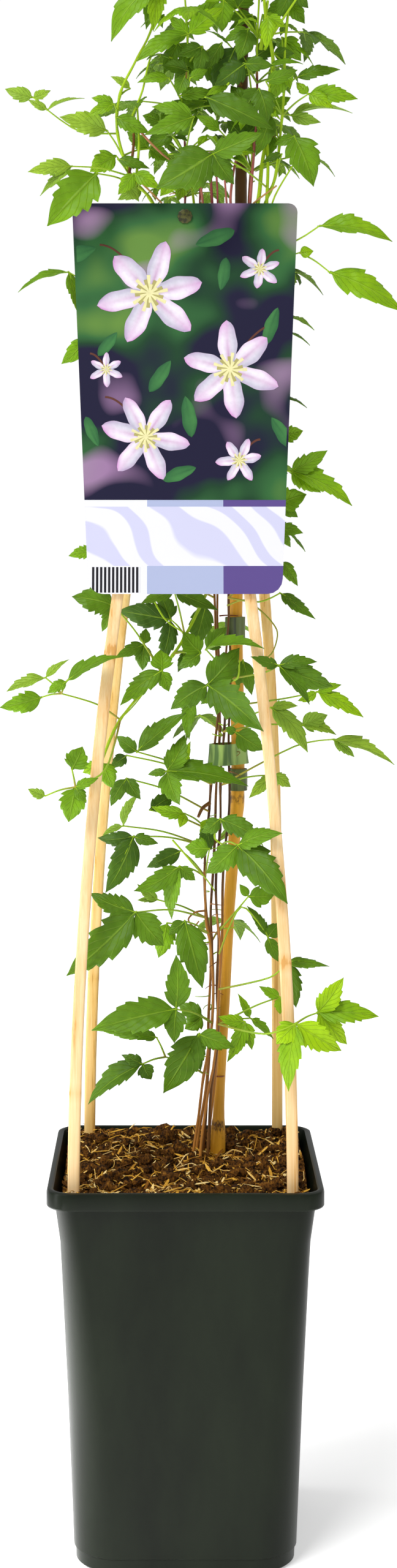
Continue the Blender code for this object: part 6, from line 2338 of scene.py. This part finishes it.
@dataclass
class Label:
    """Card label on the front slats, with a printed picture of open flowers and its pin."""

    low: float = 530.2
    high: float = 749.8
    low_half: float = 53.6
    top_half: float = 63.4
    picture_low: float = 583.0
    thick: float = 0.8
    gap: float = 0.3
    pin_height: float = 742.2
    pin_head: float = 4.1
    pin_shank: float = 1.5
    pin_proud: float = 1.2
    threads: int = 27
    flowers: tuple[tuple[float, float, float, float], ...] = (
        (-20.0, 698.0, 31.0, 12.0), (25.0, 655.0, 28.0, 40.0), (-22.0, 617.0, 25.0, -8.0),
        (42.0, 712.0, 12.0, 20.0), (30.0, 604.0, 13.0, 5.0), (-44.0, 655.0, 10.0, 30.0),
    )
    leaves: tuple[tuple[float, float, float, float], ...] = (
        (6.0, 726.0, 24.0, 20.0), (52.0, 690.0, 22.0, 250.0), (-50.0, 724.0, 24.0, 200.0),
        (-8.0, 660.0, 22.0, 235.0), (0.0, 640.0, 24.0, 285.0), (48.0, 628.0, 22.0, 300.0),
        (6.0, 600.0, 20.0, 200.0), (-48.0, 612.0, 18.0, 120.0),
        (20.0, 700.0, 20.0, 75.0), (-38.0, 676.0, 18.0, 230.0),
    )

    def back(self, trellis: Trellis, height: float) -> float:
        """Depth of the card's back: it leans on the front slats and clears their tie.

        Args:
            trellis: What it leans on.
            height: The height in millimetres.

        Returns:
            The depth in millimetres.
        """
        levels = [self.low + (self.high - self.low) * i / 20 for i in range(21)]
        depths = [trellis.centre(0, z).y for z in levels]
        slope = (depths[-1] - depths[0]) / (self.high - self.low)
        bulge = max(depths[0] + slope * (z - self.low) - y for z, y in zip(levels, depths))
        bulge = max(bulge + trellis.thick / 2, trellis.thick / 2 + 1.0 + 3 * self.gap)
        return depths[0] + slope * (height - self.low) - bulge - self.gap

    def dress(self, node: Object, trellis: Trellis) -> None:
        """Give the card its print, and lay the printed flowers on its face.

        Args:
            node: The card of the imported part.
            trellis: What it leans on.
        """
        start, end = self.back(trellis, self.low), self.back(trellis, self.high)
        slope = (end - start) / (self.high - self.low)
        middle = start - slope * self.low - self.thick / 2
        card = PrintedCard(slope=slope, middle=middle).make()
        for slot in node.material_slots:
            slot.material = card
        ink = PetalInk().make()
        petal, rod = sheet_blank(16, 8, [ink]), rod_blank(6, 14, [ink])
        pieces: list[Object] = []

        def lay(points: np.ndarray) -> np.ndarray:
            """Places across and up the card, and how far off it, as points."""
            face = start + slope * (points[:, 1] - self.low) - self.thick
            return np.column_stack([points[:, 0], face - points[:, 2], points[:, 1]])

        for index, (x, z, length, turn) in enumerate(self.leaves):
            pieces.append(self.petal(petal, lay, (x, z), length, turn, 0.36, 0.04,
                                     (Ink.LEAF, Ink.LEAF_LIGHT, Ink.LEAF, Ink.LEAF), index))
        for index, (x, z, size, turn) in enumerate(self.flowers):
            side = 1 if x > 0 else -1
            bend = np.array([(x, z, 0.07), (x + side * size * 0.5, z + size * 0.9, 0.07),
                             (x + side * size * 0.9, z + size * 0.9, 0.07)])
            even = np.linspace(0, 1, 15)[:, None]
            path = (1 - even) ** 2 * bend[0] + 2 * even * (1 - even) * bend[1] + even**2 * bend[2]
            limit = self.half(path[:, 1]) - 1.5
            path[:, 0] = np.clip(path[:, 0], -limit, limit)
            stalk = bent_rod(rod, lay(path), lambda s: 0.0 * s + 0.62,
                             {"ink": hex_colour(Ink.STALK.value)})
            pieces.append(self.flatten(stalk, start, slope, 0.07))
            for k in range(6):
                order = k % 2
                pieces.append(self.petal(
                    petal, lay, (x, z), size, turn + 60 * k, 0.40, 0.10 + 0.05 * order,
                    (Ink.MAUVE, Ink.WHITE, Ink.BLUSH, Ink.SHADOW), index * 6 + k,
                ))
            for k in range(self.threads):
                way = math.radians(turn + 360 / self.threads * k)
                reach = size * (0.34, 0.26, 0.17)[k % 3]
                ends = np.array([(x, z, 0.22), (x + reach * math.cos(way),
                                                z + reach * math.sin(way), 0.26)])
                thread = bent_rod(
                    rod, lay(ends), lambda s, r=size: r * (0.022 + 0.016 * s),
                    {"ink": hex_colour((Ink.CREAM, Ink.CREAM_DEEP, Ink.CREAM)[k % 3].value)},
                )
                pieces.append(self.flatten(thread, start, slope, 0.24 + 0.03 * (k % 3)))
        settle_piece(pieces, "label_flowers")

    def half(self, height: Any) -> Any:
        """Half width of the card at a height."""
        share = (np.asarray(height) - self.low) / (self.high - self.low)
        return self.low_half + (self.top_half - self.low_half) * share

    def flatten(self, piece: Object, start: float, slope: float, top: float) -> Object:
        """Press a rod flat on the card's face.

        Args:
            piece: The rod.
            start: Depth of the card's back at its low edge.
            slope: How the card leans.
            top: Most that it stands off the card, in millimetres.

        Returns:
            The rod, pressed.
        """
        for vertex in piece.data.vertices:
            face = (start + slope * (vertex.co.z / MM - self.low) - self.thick) * MM
            lift = face - vertex.co.y
            vertex.co.y = face - max(0.02, min(top, lift / MM * 0.35 + 0.05)) * MM
        return piece

    def petal(
        self, blank: Blank, lay: Callable[[np.ndarray], np.ndarray],
        centre: tuple[float, float], length: float, turn: float, ratio: float, lift: float,
        inks: tuple[Ink, Ink, Ink, Ink], seed: int,
    ) -> Object:
        """Print a petal or leaf.

        Args:
            blank: The flat blank.
            lay: Turns places on the card into points.
            centre: Where it starts, across and up.
            length: Its length.
            turn: Its direction in degrees.
            ratio: Its width over its length.
            lift: How far its layer lies over the card.
            inks: Colours of its middle line, its blade, its edge and tip, and its shaded half.
            seed: Source of its small differences.

        Returns:
            The printed petal.
        """
        rng = random.Random(seed)
        u = (blank.points[:, 0] + 1) / 2
        v = blank.points[:, 1]
        half = length * ratio / 2 * rng.uniform(0.92, 1.08)
        reach = np.maximum(u ** 0.75 * (1 - u) ** 0.62 / 0.395, 0.02)
        bend = rng.uniform(-0.07, 0.07) * length
        away = length * rng.uniform(0.93, 1.03) * u
        aside = v * half * reach * (1 + 0.05 * np.sin(u * 15 + seed)) + bend * u * u
        way = math.radians(turn + rng.uniform(-4, 4))
        x = centre[0] + away * math.cos(way) - aside * math.sin(way)
        z = centre[1] + away * math.sin(way) + aside * math.cos(way)
        limit = self.half(z) - 1.2
        x = np.clip(x, -limit, limit)
        z = np.clip(z, self.picture_low, self.high - 1.2)
        height = lift + 0.05 * (1 - v * v) + 0.02 * blank.points[:, 2]
        colours = [np.array(hex_colour(ink.value)) for ink in inks]
        middle = np.clip(1 - np.abs(v) * 2.2, 0, 1) * np.clip(1.15 - u, 0, 1)
        tip = np.clip(np.abs(v) ** 3 * 0.5 + np.clip(u - 0.62, 0, 1) * 2.2, 0, 1)
        streak = 0.5 + 0.5 * np.cos(v * 22 + seed)
        dim = np.clip(v * rng.choice((-1, 1)) * 0.8, 0, 0.6) + 0.3 * (1 - u) ** 3
        ink = colours[1] + (colours[2] - colours[1]) * (tip * (0.75 + 0.25 * streak))[:, None]
        ink = ink + (colours[3] - ink) * np.clip(dim, 0, 0.8)[:, None]
        ink = ink + (colours[0] - ink) * ((0.55 + 0.25 * streak) * middle)[:, None]
        return blank.copy(lay(np.column_stack([x, z, height])) * MM, {"ink": ink})

    def pin(self, trellis: Trellis, material: Material) -> None:
        """Make the push pin: a domed head with a ribbed edge, and a shank between the slats.

        Args:
            trellis: Where its shank ends.
            material: Its plastic.
        """
        face = self.back(trellis, self.pin_height) - self.thick - 2 * self.gap
        profile = np.array([
            (trellis.top_y + 1.0, self.pin_shank * 0.55), (trellis.top_y, self.pin_shank),
            (face, self.pin_shank), (face, self.pin_head * 0.96), (face - 0.25, self.pin_head),
            (face - 0.75, self.pin_head * 0.97), (face - 1.0, self.pin_head * 0.80),
            (face - 1.0, self.pin_head * 0.45), (face - self.pin_proud, self.pin_head * 0.30),
        ])
        blank = rod_blank(40, len(profile) - 1, [material])
        rib = 1 + 0.04 * np.cos(blank.angle * 10) * (blank.row > 2)
        depth, radius = profile[blank.row].T
        x, z = radius * rib * np.cos(blank.angle), radius * rib * np.sin(blank.angle)
        pin = blank.copy(np.column_stack([x, depth, self.pin_height + z]) * MM)
        settle_piece([pin], "label_pin_ribbed", ["label_pin"], sharp=35)


@dataclass
class Studio:
    """White floor, even white surroundings, a soft key from the upper left and the camera."""

    camera_place: Place = (-0.0072, -1.297, 0.552)
    lens_mm: float = 52.52
    shift: tuple[float, float] = (0.0168, -0.1465)
    clip_start: float = 0.05
    floor_size: float = 40.0
    ambient: float = 0.52
    backdrop: float = 1.02
    key_strength: float = 1.9
    key_softness: float = 24.0
    key_way: Place = (0.42, 0.62, -0.85)
    panels: tuple[tuple[Any, ...], ...] = (
        ("side strip", (-1.15, -0.45, 0.45), (0.0, 0.0, 0.0), (0.18, 1.4), 6.0),
        ("floor glow", (-0.38, -0.02, 0.20), (-0.38, -0.02, 0.0), (0.30, 0.40), 4.6),
    )

    def build(self) -> None:
        """Set up the floor, the surroundings, the lights and the camera."""
        floor = add_primitive("plane", size=self.floor_size)
        floor.name = "studio_floor"
        floor.data.materials.append(StudioFloor().make())
        scene = bpy.context.scene
        scene.view_settings.view_transform = "Standard"
        scene.world = bpy.data.worlds.new("white studio")
        scene.world.use_nodes = True
        tree = scene.world.node_tree
        sky = tree.nodes["Background"]
        sky.inputs["Color"].default_value = (1.0, 1.0, 1.0, 1.0)
        seen = add_node(tree, "LightPath", output="Is Camera Ray")
        glow = {"Value": seen, "To Min": self.ambient, "To Max": self.backdrop}
        tree.links.new(add_node(tree, "MapRange", glow), sky.inputs["Strength"])
        key = bpy.data.lights.new("soft key", "SUN")
        key.energy = self.key_strength
        key.angle = math.radians(self.key_softness)
        self.hang(key, (0, 0, 0), Vector(self.key_way))
        for name, place, target, size, power in self.panels:
            panel = bpy.data.lights.new(name, "AREA")
            panel.shape = "RECTANGLE"
            panel.size, panel.size_y = size
            panel.energy = power
            self.hang(panel, place, Vector(target) - Vector(place)).visible_camera = False
        data = bpy.data.cameras.new("camera")
        data.sensor_width = 36.0
        data.lens = self.lens_mm
        data.shift_x, data.shift_y = self.shift
        data.clip_start = self.clip_start
        scene.camera = self.hang(data, self.camera_place, Vector((0, 1, 0)))

    def hang(self, data: Any, place: Place, way: Vector) -> Object:
        """Put a light or camera in its place.

        Args:
            data: The light or camera.
            place: Where it is.
            way: Which way it looks.

        Returns:
            Its object.
        """
        obj = bpy.data.objects.new(data.name, data)
        obj.location = place
        obj.rotation_euler = way.to_track_quat("-Z", "Y").to_euler()
        bpy.context.scene.collection.objects.link(obj)
        return obj


def main() -> None:
    """Build every piece in order."""
    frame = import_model()
    logging.basicConfig(level=logging.INFO, format="%(name)s: %(message)s")
    LOG.info("nodes: %s", ", ".join(sorted(frame["nodes"])))
    Studio().build()
    Pot().build(MouldedPlastic().make())
    mix, peat = PottingMix(), MoistPeat().make()
    mix.build(peat)
    mix.scatter(ChippedBark().make(), peat)
    fresh = SplitBamboo().make()
    aged = SplitBamboo(
        name="split bamboo, planed, yellower", pale="#eacb8c", warm="#dcb062", fibre="#bf8f45"
    ).make()
    trellis = Trellis()
    trellis.build((fresh, aged))
    Cane().build(CaneSkin().make())
    tape = TyingBand().make()
    dark_tape = TyingBand(
        name="soft PVC tying tape, dark", light="#5b6836", deep="#2b3517"
    ).make()
    Band("band_low", *BAND_LOW, BAND_LOW_HOLDS, flare=1.1).build(tape)
    Band("band_high", *BAND_HIGH, BAND_HIGH_HOLDS).build(dark_tape)
    Band("cane_tape", *CANE_TAPE, ()).build(dark_tape)
    trellis.bind(dark_tape)
    label = Label()
    label.dress(frame["nodes"]["label"], trellis)
    label.pin(trellis, PinPlastic().make())
    layout = Layout(trellis.points_to_avoid() + cane_points(),
                    lambda height: label.back(trellis, height))
    layout.grow()
    finishes = [LeafTissue().make(), StemSkin().make()]
    large, small = LeafletForm(), LeafletForm(rows=17, columns=6)
    blanks = {
        "leaflet": sheet_blank(large.rows, large.columns, finishes),
        "small leaflet": sheet_blank(small.rows, small.columns, finishes),
        "stem": rod_blank(8, 110, finishes),
        "stalk": rod_blank(6, 10, finishes),
        "shoot": rod_blank(6, 24, finishes),
        "rib": rod_blank(4, 5, finishes),
    }
    for name in VINES:
        Climber(name, large, small, blanks).build(layout)


if __name__ == "__main__":
    main()
